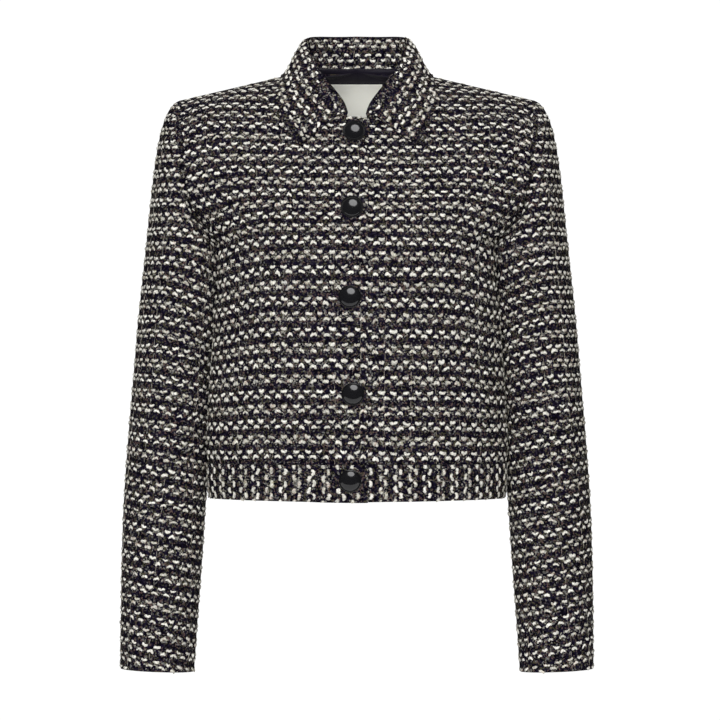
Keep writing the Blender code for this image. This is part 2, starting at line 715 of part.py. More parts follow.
def neckline(count, side):
    """Half the neckline from back centre to the collar's front end: points and cloth normals."""
    points, normals = back_cloth()
    middle = len(points) // 2
    neck = middle - int(side) * np.arange(ACROSS_BACK_NECK + 1)
    back_points, back_normals = points[neck, -1], normals[neck, -1]
    points, normals = front_cloth(side)
    front_points = points[0, FRONT_ROWS_TO_NECK:][::-1]
    front_normals = normals[0, FRONT_ROWS_TO_NECK:][::-1]
    keep = front_points[:, 0] * side > COLLAR_END_X
    end = front_points[~keep][0]
    before = front_points[keep][-1]
    share = (before[0] * side - COLLAR_END_X) / (before[0] - end[0]) / side
    end = before + (end - before) * share
    points = np.concatenate([back_points, front_points[keep][1:], [end]])
    normals = np.concatenate([back_normals, front_normals[keep][1:], front_normals[~keep][:1]])
    length = np.concatenate([[0], np.cumsum(np.linalg.norm(np.diff(points, axis=0), axis=1))])
    wanted = np.linspace(0, length[-1], count)
    points = np.stack([np.interp(wanted, length, points[:, k]) for k in range(3)], axis=-1)
    normals = np.stack([np.interp(wanted, length, normals[:, k]) for k in range(3)], axis=-1)
    return points, unit(normals)


def finer(grid, steps):
    """The same faceted surface with more points: straight lines between its own."""
    for axis in (0, 1):
        size = grid.shape[axis]
        if size == 1:
            continue
        at = np.linspace(0, size - 1, (size - 1) * steps + 1)
        low = np.minimum(at.astype(int), size - 2)
        share = (at - low).reshape((-1, 1, 1) if axis == 0 else (1, -1, 1))
        grid = np.take(grid, low, axis) * (1 - share) + np.take(grid, low + 1, axis) * share
    return grid


def body_samples():
    """Outer points and normals of both fronts and the back, close enough to lay the collar on."""
    points, normals = [], []
    for cloth in (front_cloth(RIGHT), front_cloth(LEFT), back_cloth()):
        upper = ROWS_BELOW_ARMPIT - 1
        points.append(finer(cloth[0][:, upper:], SAMPLE_STEPS).reshape(-1, 3))
        normals.append(unit(finer(cloth[1][:, upper:], SAMPLE_STEPS).reshape(-1, 3)))
    return np.concatenate(points), np.concatenate(normals)


def heights_over(points, cloth):
    """Height of each point over the cloth nearest to it, and the cloth's normal there."""
    cloth_points, cloth_normals = cloth
    heights, normals = np.zeros(points.shape[:-1]), np.zeros_like(points)
    for i, line in enumerate(points):
        gaps = np.linalg.norm(line[:, None] - cloth_points[None], axis=-1)
        nearest = gaps.argmin(axis=1)
        normals[i] = cloth_normals[nearest]
        heights[i] = np.sum((line - cloth_points[nearest]) * normals[i], axis=1)
    return heights, normals


def lifted(points, least, cloth):
    """Moves points out until they, and the facets between them, stand at least so far off the cloth."""
    def about(i):
        return slice(max(0, (i - 1) * FACET_STEPS + 1), (i + 1) * FACET_STEPS)

    moved = points.copy()
    wanted = finer(np.broadcast_to(least, points.shape[:-1])[..., None], FACET_STEPS)[..., 0]
    for _ in range(LIFT_PASSES):
        heights, normals = heights_over(finer(moved, FACET_STEPS), cloth)
        pushes = normals * np.maximum(wanted - heights, 0)[..., None]
        for i, j in np.ndindex(moved.shape[:2]):
            near = pushes[about(i), about(j)].reshape(-1, 3)
            moved[i, j] += near[np.linalg.norm(near, axis=1).argmax()]
    return moved


def place_on(surface, x, z, low=ARMPIT):
    """(u, level) of a place on the left half of a panel, from its distance across and its height."""
    level = (low + 1) / 2
    for _ in range(PASSES):
        u = u_where(surface, np.array([level]), lambda p: p[..., 0] - x)[0]
        level = level_where(surface, u, 2, z, low)
    return u, level


def collar_half(side):
    """Visible face of half the collar: rows along it, columns from the seat over the fold."""
    stations = np.linspace(0, 1, COLLAR_STEPS + 1)
    seat, seat_normals = neckline(COLLAR_STEPS + 1, side)
    rows = []
    for index, (at, fold_x, fold_y, fold_z, edge_x, edge_z) in enumerate(COLLAR_STATIONS):
        surface = back if index < BACK_STATIONS else front
        rows.append((at, fold_x, fold_y, fold_z, *surface(*place_on(surface, edge_x, edge_z), LEFT)))
    table = spline(rows, stations)
    mirror = np.array([side, 1, 1])
    fold, edge = table[:, :3] * mirror, table[:, 3:] * mirror
    laps = stations > FRONT_SEATS
    fold = fold + seat_normals * (lap_shift(seat, side) * laps)[:, None]
    base = seat + seat_normals * CLEAR
    away = (edge - fold) * np.array([1, 1, 0])
    away[0] = (0, 1, 0)
    away = unit(away)
    rise = np.linalg.norm(fold - base, axis=1, keepdims=True)
    turn = np.minimum(FOLD_TURN[0], FOLD_LIMIT[0] * rise)
    leave = unit(seat_normals + (fold - base) / rise)
    share = np.linspace(0, 1, STAND_STEPS + 1)[None, :, None]
    stand = bezier(base[:, None], (base + leave * rise * STAND_LEAVE)[:, None],
                   (fold - away * turn)[:, None], fold[:, None], share)
    drop = np.linalg.norm(edge - fold, axis=1, keepdims=True)
    over = fold + away * np.minimum(FOLD_TURN[1], FOLD_LIMIT[1] * drop)
    land = edge + (fold - edge) * LEAF_LAND[0] + np.array([0, 0, 1.0]) * drop * LEAF_LAND[1]
    share = np.linspace(0, 1, FALL_STEPS + 1)[None, 1:, None]
    fall = bezier(fold[:, None], over[:, None], land[:, None], edge[:, None], share)
    return stand, fall


def add_collar(material):
    left_stand, left_fall = collar_half(LEFT)
    right_stand, right_fall = collar_half(RIGHT)
    stand = np.concatenate([left_stand[::-1], right_stand[1:]])
    fall = np.concatenate([left_fall[::-1], right_fall[1:]])
    cloth = body_samples()
    settle = smooth_step(0, 2, np.arange(1, FALL_STEPS + 1))[None, :]
    fall = lifted(fall, (LEAF_CLEAR + COLLAR_TWEED) * settle, cloth)
    stand[:, :1] = lifted(stand[:, :1], CLEAR, cloth)
    outer = np.concatenate([stand, fall], axis=1)
    normals = unit(np.cross(np.gradient(outer, axis=0), np.gradient(outer, axis=1)))
    top = normals[len(normals) // 2, STAND_STEPS]
    normals *= np.sign(top[2])
    least = np.concatenate([np.full((1, STAND_STEPS + 1), CLEAR), LEAF_CLEAR * settle], axis=1)
    under = lifted(outer - normals * COLLAR_TWEED, least, cloth)
    wall("collar", outer, under, material)


# ---------------------------------------------------------------- lining, label, buttons

def add_lining(material):
    """Lies inside the back's upper middle, on the same points moved in."""
    points, normals = back_cloth()
    middle, reach = len(points) // 2, ACROSS_BACK_NECK + LINING_PAST_NECK
    points = points[middle - reach:middle + reach + 1, LINING_FIRST_ROW:]
    normals = normals[middle - reach:middle + reach + 1, LINING_FIRST_ROW:]
    depth = TWEED + CLEAR
    wall("neck_lining", points - normals * depth, points - normals * (depth + LINING), material)


def at_place(grid, x, z):
    """Column and row, with fractions, of a place on a grid of points."""
    columns, rows = np.arange(grid.shape[0]), np.arange(grid.shape[1])
    i, j = len(columns) / 2, len(rows) / 2
    order = np.sign(grid[-1, 0, 0] - grid[0, 0, 0])
    for _ in range(PASSES):
        row = between(grid, columns, np.full(len(columns), j))
        i = np.interp(x * order, row[:, 0] * order, columns)
        column = between(grid, np.full(len(rows), i), rows)
        j = np.interp(z, column[:, 2], rows)
    return i, j


def between(grid, i, j):
    """Values of a grid at fractional columns and rows."""
    low_i = np.minimum(i.astype(int), grid.shape[0] - 2)
    low_j = np.minimum(j.astype(int), grid.shape[1] - 2)
    a, b = (i - low_i)[..., None], (j - low_j)[..., None]
    low = grid[low_i, low_j] * (1 - a) + grid[low_i + 1, low_j] * a
    high = grid[low_i, low_j + 1] * (1 - a) + grid[low_i + 1, low_j + 1] * a
    return low * (1 - b) + high * b


def add_label(material):
    """Lies on the lining, from the back's points moved in past it."""
    points, normals = back_cloth()
    across = LABEL_X + np.linspace(-LABEL_HALF_WIDTH, LABEL_HALF_WIDTH, LABEL_GRID[0])
    up = np.linspace(LABEL_LOW_Z, LABEL_TOP_Z, LABEL_GRID[1])
    places = np.array([[at_place(points, x, z) for z in up] for x in across])
    seat = between(points, places[..., 0], places[..., 1])
    facing = unit(between(normals, places[..., 0], places[..., 1]))
    depth = TWEED + CLEAR + LINING + CLEAR
    wall("neck_label", seat - facing * depth, seat - facing * (depth + LABEL), material)


def on_right_front(x, z):
    """Outer point and normal of the right front or its band at a place near the centre."""
    u, level = place_on(front, abs(x), z, BAND_LOW)
    about = np.array([-0.01, 0, 0.01])
    points = front(u + about[:, None], level + about[None, :], RIGHT)
    normals = outward(points)
    proud = BAND_PROUD if level < BAND_SEAM else 0.0
    return raised_front(points, normals, RIGHT, proud)[1, 1], normals[1, 1]


def button_profile():
    """Radius and height of a dome with a thin raised rim and a flat back."""
    corner, side, crest, foot = BUTTON_WALL
    inner, rise = BUTTON_RADIUS - BUTTON_RIM, BUTTON_HEIGHT - foot
    turns = np.linspace(0, math.pi / 2, DOME_STEPS)[:-1]
    dome = [(inner * math.cos(a), foot + rise * math.sin(a)) for a in turns]
    rim = [(BUTTON_RADIUS, corner), (BUTTON_RADIUS, side), (BUTTON_RADIUS - BUTTON_RIM / 2, crest)]
    return [(0.0, 0.0), (BUTTON_RADIUS * BUTTON_BACK, 0.0), *rim, *dome, (0.0, BUTTON_HEIGHT)]


def add_button(number, x, z, material):
    """Turned profile set on the cloth with its axis along the cloth's normal."""
    point, normal = on_right_front(x, z)
    side_x = unit(np.cross(np.array([0, 0, 1.0]), normal))
    side_y = np.cross(normal, side_x)
    centre = point + normal * BUTTON_LIFT
    profile = button_profile()
    turns = np.linspace(0, 2 * math.pi, BUTTON_SIDES, endpoint=False)
    vertices = [centre]
    for radius, height in profile[1:-1]:
        for a in turns:
            flat = side_x * math.cos(a) + side_y * math.sin(a)
            vertices.append(centre + flat * radius + normal * height)
    vertices.append(centre + normal * profile[-1][1])
    last = len(vertices) - 1
    faces = []
    for k in range(BUTTON_SIDES):
        after = (k + 1) % BUTTON_SIDES
        faces.append((0, 1 + after, 1 + k))
        for ring in range(len(profile) - 3):
            low, high = 1 + ring * BUTTON_SIDES, 1 + (ring + 1) * BUTTON_SIDES
            faces.append((low + k, low + after, high + after, high + k))
        top = 1 + (len(profile) - 3) * BUTTON_SIDES
        faces.append((top + k, top + after, last))
    new_object(f"button_{number}", np.array(vertices) * MM, faces, material)


def main():
    for old in list(bpy.data.objects):
        bpy.data.objects.remove(old)
    tweed = surface_finish("tweed", (0.10, 0.095, 0.10), 0.9)
    band_tweed = surface_finish("band_tweed", (0.10, 0.095, 0.10), 0.9)
    lining = surface_finish("lining", (0.012, 0.011, 0.016), 0.45)
    label = surface_finish("label", (0.72, 0.71, 0.62), 0.7)
    button = surface_finish("button", (0.01, 0.01, 0.012), 0.12)
    add_front(RIGHT, tweed)
    add_front(LEFT, tweed)
    add_back(tweed)
    add_sleeve(RIGHT, tweed)
    add_sleeve(LEFT, tweed)
    add_bands(band_tweed)
    add_collar(tweed)
    add_lining(lining)
    add_label(label)
    for number, (x, z) in enumerate(BUTTONS, start=1):
        add_button(number, x, z, button)


main()
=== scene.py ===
# %% [markdown]
# # A cropped tweed jacket
# The jacket is sewn from flat pieces of thick wool tweed: two fronts, a back, two-piece sleeves,
# a folded collar and a band round the hem, with five domed buttons. It stands filled out, as if
# somebody wore it, but it is hollow. This lesson dresses the imported model: each plain solid is
# replaced by a fine shell of cloth on the same form, and the tweed's yarns are laid on top.
#
# The imported model comes first. Its box is kept.

# %% Load the imported model
import math

import bpy
import numpy as np
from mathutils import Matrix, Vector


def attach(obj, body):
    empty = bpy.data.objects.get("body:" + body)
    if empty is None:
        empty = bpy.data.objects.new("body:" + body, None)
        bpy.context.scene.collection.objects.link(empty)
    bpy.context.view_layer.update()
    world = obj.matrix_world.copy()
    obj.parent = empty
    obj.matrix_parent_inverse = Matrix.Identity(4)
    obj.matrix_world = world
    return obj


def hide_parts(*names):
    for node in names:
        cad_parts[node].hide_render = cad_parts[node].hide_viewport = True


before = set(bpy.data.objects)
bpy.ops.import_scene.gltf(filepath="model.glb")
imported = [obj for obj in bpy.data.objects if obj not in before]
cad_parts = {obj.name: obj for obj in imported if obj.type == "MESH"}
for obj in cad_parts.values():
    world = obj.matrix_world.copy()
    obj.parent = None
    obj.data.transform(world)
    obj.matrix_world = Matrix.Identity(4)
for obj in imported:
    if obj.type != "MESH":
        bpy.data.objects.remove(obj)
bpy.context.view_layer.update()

print("nodes:", len(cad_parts))

# %% [markdown]
# ## Small tools for curves
# The cloth's shape is kept in short tables in millimetres, one row for each section. A smooth
# curve through the rows gives every height in between, and a cubic gives the round of the body
# from the centre line to the side. All the later cells draw on these few helpers.

# %% Curves
MM = 0.001
RIGHT, LEFT = -1.0, 1.0             # the wearer's sides
MIRROR = np.array([-1, 1, 1])


def spline(rows, at):
    """Smooth curve through the rows; the first column is the parameter."""
    table = np.array(rows, float)
    knots, values = table[:, 0], table[:, 1:]
    at = np.atleast_1d(np.asarray(at, float))
    slopes = np.gradient(values, knots, axis=0)
    i = np.clip(np.searchsorted(knots, at) - 1, 0, len(knots) - 2)
    span = (knots[i + 1] - knots[i])[:, None]
    t = ((at - knots[i])[:, None]) / span
    a, b = values[i], values[i + 1]
    da, db = slopes[i] * span, slopes[i + 1] * span
    return ((2 * t**3 - 3 * t**2 + 1) * a + (t**3 - 2 * t**2 + t) * da
            + (3 * t**2 - 2 * t**3) * b + (t**3 - t**2) * db)


def bezier(p0, p1, p2, p3, t):
    """Cubic curve from p0 to p3, pulled towards the two points between."""
    s = 1 - t
    return s**3 * p0 + 3 * s**2 * t * p1 + 3 * s * t**2 * p2 + t**3 * p3


def smooth_step(low, high, x):
    """Rises softly from 0 at low to 1 at high."""
    t = np.clip((x - low) / (high - low), 0, 1)
    return t * t * (3 - 2 * t)


def unit(v):
    return v / np.maximum(np.linalg.norm(v, axis=-1, keepdims=True), 1e-9)


def running_length(line):
    return np.concatenate([[0], np.cumsum(np.linalg.norm(np.diff(line, axis=0), axis=1))])


def resampled(values, at, wanted):
    """Values along a line, read off at other distances."""
    return np.stack([np.interp(wanted, at, column) for column in values.T], axis=-1)


# %% [markdown]
# ## The body's form
# A boxy jacket hangs from the shoulders and stands away from the waist. Each row below is a
# section: its level (0 at the band seam, 1 at the shoulder seam), the centre line, two points
# that shape the corner, and the side seam or armhole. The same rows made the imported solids.

# %% Sections of the body
# level, mid_y, mid_z, flat_x, turn_x, turn_y, edge_x, edge_y, edge_z
FRONT_SECTIONS = (
    (-0.102, -116, -453, 104, 163.5, -70, 163.5, 0, -450.4),
    (-0.050, -119, -433, 105, 168.0, -72, 168.0, 0, -432.5),
    (0.000, -120, -413, 105, 168.5, -73, 168.5, 0, -413),
    (0.060, -122, -391, 105, 169.5, -75, 169.5, 0, -391),
    (0.200, -124, -335, 103, 166.0, -76, 166.0, 0, -335),
    (0.380, -124, -255, 100, 161.5, -75, 161.5, 0, -255),
    (0.500, -117, -200, 98, 159.5, -70, 159.5, 0, -200),
    (0.550, -112, -178, 98, 159.0, -68, 159.0, 0, -178),
    (0.600, -106, -158, 99, 164.0, -66, 163.0, -30, -164),
    (0.680, -97, -127, 99, 171.0, -65, 178.0, -49, -136),
    (0.780, -85, -92, 98, 168.0, -64, 184.0, -53, -101),
    (0.860, -69, -54, 98, 164.0, -56, 187.0, -45, -65.5),
    (0.930, -52, -18, 92, 158.0, -40, 189.0, -28, -38),
    (0.970, -30, 8, 82, 146.0, -21, 189.5, -13, -26),
    (1.000, 2, 23, 63, 126.0, 2, 189.5, 2, -21.5),
)
BACK_SECTIONS = (
    (-0.102, 97, -453, 104, 163.5, 60, 163.5, 0, -450.4),
    (-0.050, 99, -433, 105, 168.0, 62, 168.0, 0, -432.5),
    (0.000, 100, -413, 105, 168.5, 63, 168.5, 0, -413),
    (0.060, 100, -391, 105, 169.5, 64, 169.5, 0, -391),
    (0.200, 98, -335, 103, 166.0, 62, 166.0, 0, -335),
    (0.380, 101, -255, 100, 161.5, 62, 161.5, 0, -255),
    (0.500, 104, -200, 100, 159.5, 66, 159.5, 0, -200),
    (0.550, 105, -178, 100, 159.0, 68, 159.0, 0, -178),
    (0.600, 105, -158, 104, 164.0, 68, 163.0, 30, -164),
    (0.680, 102, -127, 104, 171.0, 70, 178.0, 47, -136),
    (0.780, 95, -87, 104, 168.0, 68, 184.0, 50, -101),
    (0.860, 86, -43, 102, 164.0, 60, 187.0, 42, -65.5),
    (0.930, 69, 1, 94, 158.0, 44, 189.0, 28, -38),
    (0.970, 45, 18, 82, 146.0, 24, 189.5, 15, -26),
    (1.000, 2, 23, 63, 126.0, 2, 189.5, 2, -21.5),
)
BAND_LOW, BAND_SEAM, ARMPIT = -0.102, 0.0, 0.55
FRONT_NECK_Z = -43.4
NECK_HALF_WIDTH, NECK_SIDE_Z = 68.0, 6.0
NECK_BACK_DEPTH, NECK_SIDE_Y = 50.0, 2.0
LAP_EDGE, LAP_ROUND, UNDERLAP_EDGE = 11.5, 6.5, 22.0
LAP_SHIFT, LAP_FADE = 1.9, (26.0, 62.0)

# height, centre_x, centre_y, half_x, half_y of the sleeve
SLEEVE_SECTIONS = (
    (-192, 185.0, 1, 44.0, 60),
    (-255, 191.5, 0, 44.2, 57),
    (-330, 198.0, -3, 44.0, 53),
    (-400, 203.5, -7, 44.2, 50),
    (-455, 207.0, -11, 44.2, 48),
    (-522, 210.1, -17, 43.1, 46),
    (-590, 213.0, -23, 40.9, 44),
    (-633.2, 214.5, -27, 39.5, 43),
)
SLEEVE_SQUARE, ARM_CLEAR, ARM_SOFT = 2.15, 2.8, 8.0
HALVINGS, PASSES = 40, 12


def sleeve_section(z):
    """Centre and half sizes of the sleeve at a height, for the left side."""
    rows = [(-row[0],) + row[1:] for row in SLEEVE_SECTIONS]
    return spline(rows, -np.clip(z, SLEEVE_SECTIONS[-1][0], SLEEVE_SECTIONS[0][0]))


def beside_the_arm(points, weight):
    """Hollows the body's side so that it stands just clear of the hanging sleeve."""
    cx, cy, hx, hy = sleeve_section(points[..., 2].ravel()).T.reshape((4,) + points.shape[:-1])
    hx, hy = hx + ARM_CLEAR, hy + ARM_CLEAR
    dx, dy = (np.abs(points[..., 0]) - cx) / hx, (points[..., 1] - cy) / hy
    near = np.maximum(np.hypot(dx, dy), 1e-6)
    pushed = (near**ARM_SOFT + 1) ** (1 / ARM_SOFT) / near
    scale = 1 + (pushed - 1) * weight
    moved = points.copy()
    moved[..., 0] = np.sign(points[..., 0]) * (cx + dx * scale * hx)
    moved[..., 1] = cy + dy * scale * hy
    return moved


def trunk(sections, u, level, side):
    """Point on the body; u is 0 at the centre line and 1 at the side seam or armhole."""
    u, level = np.broadcast_arrays(np.asarray(u, float), np.asarray(level, float))
    row = spline(sections, level.ravel()).T.reshape((8,) + u.shape)
    mid_y, mid_z, flat_x, turn_x, turn_y, edge_x, edge_y, edge_z = row
    t = np.abs(u)
    x = bezier(0 * t, flat_x, turn_x, edge_x, t)
    y = bezier(mid_y, mid_y, turn_y, edge_y, t)
    z = mid_z + (edge_z - mid_z) * x / edge_x
    points = np.stack([x, y, z], axis=-1)
    points = beside_the_arm(points, 1 - smooth_step(ARMPIT, ARMPIT + 0.09, level))
    points[..., 0] = np.where(u < 0, -points[..., 0], points[..., 0]) * side
    return points


def front(u, level, side):
    return trunk(FRONT_SECTIONS, u, level, side)


def back(u, level, side):
    return trunk(BACK_SECTIONS, u, level, side)


# %% [markdown]
# ## Finding the cut lines
# The neckline is an oval that cuts the body's form, the armhole is its outer edge, and the front
# opening stands at a fixed distance from the centre. Each line is found by halving: the share
# across the body is narrowed until the point lies on the line. This is slow but never wrong.

# %% Cut lines
def u_where(surface, level, test):
    """The share across at which test(point) passes zero, one for each level."""
    low, high = np.zeros_like(level), np.ones_like(level)
    for _ in range(HALVINGS):
        middle = (low + high) / 2
        inside = test(surface(middle, level, LEFT)) < 0
        low = np.where(inside, middle, low)
        high = np.where(inside, high, middle)
    return (low + high) / 2


def level_where(surface, u, column, value, low=ARMPIT):
    """Level at which a line up the body reaches a value of y (1) or z (2)."""
    high = 1.0
    sign = np.sign(surface(u, high, LEFT)[column] - value)
    for _ in range(HALVINGS):
        middle = (low + high) / 2
        if sign * (surface(u, middle, LEFT)[column] - value) < 0:
            low = middle
        else:
            high = middle
    return (low + high) / 2


def place_on(surface, x, z, low=ARMPIT):
    """(u, level) of a place on the left half, from its distance across and its height."""
    level = (low + 1) / 2
    for _ in range(PASSES):
        u = u_where(surface, np.array([level]), lambda p: p[..., 0] - x)[0]
        level = level_where(surface, u, 2, z, low)
    return u, level


def in_front_neck(p):
    rise = (p[..., 2] - NECK_SIDE_Z) / (NECK_SIDE_Z - FRONT_NECK_Z)
    return (p[..., 0] / NECK_HALF_WIDTH) ** 2 + rise**2 - 1


def in_back_neck(p):
    reach = (p[..., 1] - NECK_SIDE_Y) / NECK_BACK_DEPTH
    return (p[..., 0] / NECK_HALF_WIDTH) ** 2 + reach**2 - 1


FRONT_NECK_LEVEL = level_where(front, 0, 2, FRONT_NECK_Z)
BACK_NECK_LEVEL = level_where(back, 0, 1, NECK_SIDE_Y + NECK_BACK_DEPTH)


def neck_curve(surface, test, first_level, count):
    """(u, level) pairs along half the neckline, evenly spaced, from centre to shoulder."""
    levels = first_level + (1 - first_level) * np.linspace(0, 1, 400) ** 2
    u = u_where(surface, levels, test)
    length = running_length(surface(u, levels, LEFT))
    wanted = np.linspace(0, length[-1], count)
    return np.interp(wanted, length, u), np.interp(wanted, length, levels)


def armhole_levels(count):
    """Levels along the armhole, evenly spaced by its length on the front."""
    levels = np.linspace(ARMPIT, 1, 300)
    length = running_length(front(np.ones(300), levels, LEFT))
    return np.interp(np.linspace(0, length[-1], count), length, levels)


print("front neck at level", round(FRONT_NECK_LEVEL, 3), "back neck at", round(BACK_NECK_LEVEL, 3))

# %% [markdown]
# ## Creases
# Thick tweed on a hanging garment keeps few creases, and they are soft: they fan out from the
# armpits, cross the inside of the elbow and sag a little over the band. Each is one row: two
# ends, a half width and a height, and a bell-shaped ridge or trough runs between the ends.
# Placing them one by one keeps each one where the cloth would really buckle.

# %% Creases
# z0, x0, z1, x1, half_width, height; x is the distance from the centre line
FRONT_FOLDS = (
    (-186, 156, -262, 118, 13, 2.2),
    (-192, 150, -238, 138, 9, -2.0),
    (-300, 158, -392, 132, 17, 1.6),
    (-330, 120, -404, 96, 18, -1.4),
    (-372, 152, -408, 160, 10, 1.5),
    (-150, 60, -250, 74, 26, 1.6),
    # finer ones, too small for the solids
    (-196, 152, -226, 128, 4.5, 1.3),
    (-204, 156, -248, 142, 5.0, -1.2),
    (-172, 162, -150, 138, 6.0, 1.0),
    (-214, 158, -282, 152, 6.0, 1.0),
    (-120, 168, -60, 152, 9.0, -0.8),
    (-398, 40, -408, 96, 7.0, 0.7),
    (-396, 104, -407, 150, 7.0, 0.8),
    (-60, 30, -110, 44, 9.0, 0.7),
)
BACK_FOLDS = (
    (-180, 152, -250, 112, 14, 2.4),
    (-176, 138, -226, 128, 9, -2.0),
    (-262, 44, -400, 58, 20, 1.5),
    (-290, 118, -404, 104, 16, -1.6),
    (-366, 146, -408, 158, 10, 1.5),
    # finer ones, too small for the solids
    (-190, 150, -222, 124, 5.0, 1.4),
    (-206, 154, -256, 138, 5.5, -1.2),
    (-120, 166, -50, 148, 9.0, -0.9),
    (-398, 30, -407, 88, 7.0, 0.7),
    (-300, 20, -372, 34, 9.0, -0.8),
    (-340, 84, -398, 76, 8.0, 0.8),
)
# on the sleeves x is the angle round in degrees, 0 outside and 90 in front
SLEEVE_FOLDS = (
    (-168, 96, -232, 132, 15, 2.2),
    (-186, 78, -262, 118, 13, -1.8),
    (-330, 150, -372, 84, 11, 1.9),
    (-352, 158, -402, 100, 11, -1.7),
    (-392, 148, -432, 70, 12, 1.6),
    (-168, 262, -238, 228, 15, 2.2),
    (-338, 214, -388, 286, 12, 1.8),
    (-510, 136, -556, 60, 13, 1.3),
    (-560, 226, -604, 296, 13, 1.3),
    # finer ones, too small for the solids
    (-158, 118, -196, 140, 6.0, 1.3),
    (-172, 104, -226, 128, 6.0, -1.2),
    (-344, 138, -382, 96, 5.5, 1.1),
    (-372, 148, -418, 92, 5.5, -1.0),
    (-300, 60, -350, 96, 8.0, 0.9),
    (-450, 130, -486, 66, 7.0, 0.9),
    (-470, 40, -520, 84, 9.0, -0.8),
    (-172, 250, -214, 222, 6.0, 1.3),
    (-356, 206, -402, 258, 6.5, 1.0),
    (-440, 220, -480, 290, 8.0, 0.9),
    (-588, 100, -610, 30, 7.0, 0.7),
)
SMALLER_SIDE = (0.8, 0.75, 0.85)    # folds of the left front, back's left half, right sleeve
FOLD_END = 0.12                     # a fold dies away this share of its length past its ends


def fold_height(folds, height, across):
    """Sum of the soft ridges and troughs at a height and a distance round."""
    total = np.zeros_like(across, dtype=float)
    for z0, x0, z1, x1, half_width, rise in folds:
        run = np.array([z1 - z0, x1 - x0], float)
        share = ((height - z0) * run[0] + (across - x0) * run[1]) / (run @ run)
        off = np.hypot(height - z0 - share * run[0], across - x0 - share * run[1])
        ends = np.clip(share + FOLD_END, 0, 1 + 2 * FOLD_END) / (1 + 2 * FOLD_END)
        total += rise * np.exp(-(off / half_width) ** 2) * np.sin(np.pi * ends) ** 1.5
    return total


# %% [markdown]
# ## Cutting the fronts and the back
# A panel is a grid of points on the body's form. Its columns run from the opening and the
# neckline out to the side seam and the armhole, and its rows from the band up to the shoulder
# seam. The creases move the points along the cloth's own normals. The right front moves out and
# the left front in near the centre, because one laps over the other.

# %% Panels
ROWS_BELOW, ROWS_ABOVE, ROWS_TO_NECK, LAP_POINTS = 40, 45, 58, 4
ACROSS_FRONT, ACROSS_BACK_NECK, ACROSS_BACK_SHOULDER = 50, 18, 32


def side_levels():
    below = np.linspace(BAND_SEAM, ARMPIT, ROWS_BELOW + 1)
    return np.concatenate([below, armhole_levels(ROWS_ABOVE + 1)[1:]])


def opening_u(levels, side):
    """Share across at the front edge; negative, because each front passes the centre."""
    near_neck = smooth_step(FRONT_NECK_LEVEL - 0.09, FRONT_NECK_LEVEL, levels)
    reach = LAP_EDGE - LAP_ROUND * near_neck if side == RIGHT else UNDERLAP_EDGE + 0 * levels
    return -u_where(front, levels, lambda p: p[..., 0] - reach)


def front_grid(side):
    """Shares and levels of one front: columns from its edge to the side, rows upwards."""
    levels = np.linspace(BAND_SEAM, FRONT_NECK_LEVEL, ROWS_TO_NECK + 1)
    edge = opening_u(levels, side)
    lap = np.linspace(edge[-1], 0, LAP_POINTS + 2)[1:-1]
    rest = ROWS_BELOW + ROWS_ABOVE - ROWS_TO_NECK - LAP_POINTS
    neck_u, neck_levels = neck_curve(front, in_front_neck, FRONT_NECK_LEVEL, rest)
    inner_u = np.concatenate([edge, lap, neck_u])
    inner_level = np.concatenate([levels, np.full(LAP_POINTS, FRONT_NECK_LEVEL), neck_levels])
    share = np.linspace(0, 1, ACROSS_FRONT + 1)[:, None]
    return inner_u + (1 - inner_u) * share, inner_level + (side_levels() - inner_level) * share


def back_grid():
    """Shares and levels of half the back: columns from the centre to the side, rows upwards."""
    neck_u, neck_level = neck_curve(back, in_back_neck, BACK_NECK_LEVEL, ACROSS_BACK_NECK + 1)
    shoulder_u = np.linspace(neck_u[-1], 1, ACROSS_BACK_SHOULDER + 1)
    top_u = np.concatenate([neck_u, shoulder_u[1:]])[:, None]
    top_level = np.concatenate([neck_level, np.ones(ACROSS_BACK_SHOULDER)])[:, None]
    low_u = np.linspace(0, 1, len(top_u))[:, None]
    rise = side_levels()
    return low_u + (top_u - low_u) * rise, top_level * rise


def lap_shift(points, side):
    fade = 1 - smooth_step(*LAP_FADE, np.abs(points[..., 0]))
    return (LAP_SHIFT if side == RIGHT else -LAP_SHIFT) * fade


def raised_front(points, normals, side, lift=0.0):
    across, share = np.abs(points[..., 0]), 1.0 if side == RIGHT else SMALLER_SIDE[0]
    folds = fold_height(FRONT_FOLDS, points[..., 2], across) * share
    return points + normals * (lap_shift(points, side) + folds + lift)[..., None]


def raised_back(points, normals, lift=0.0):
    share = np.where(points[..., 0] < 0, 1.0, SMALLER_SIDE[1])
    across = np.abs(points[..., 0])
    folds = fold_height(BACK_FOLDS, points[..., 2], across) * share
    return points + normals * (folds + lift)[..., None]


def outward(points):
    """Unit normals of a grid, turned away from the body's middle."""
    normals = unit(np.cross(np.gradient(points, axis=0), np.gradient(points, axis=1)))
    facing = np.sum(normals * (points - np.array([0, 0, -200.0])), axis=-1).mean()
    return normals * np.sign(facing)


def shoulder_normal(side):
    top = FRONT_SECTIONS[-1]
    return unit(np.array([side * (top[2] - top[8]) / top[6], 0, 1.0]))


def front_cloth(side):
    """Outer points and normals of one front."""
    u, level = front_grid(side)
    points = front(u, level, side)
    normals = outward(points)
    normals[:, -1] = shoulder_normal(side)
    normals[-1, :ROWS_BELOW + 1] = (side, 0, 0)
    return raised_front(points, normals, side), normals


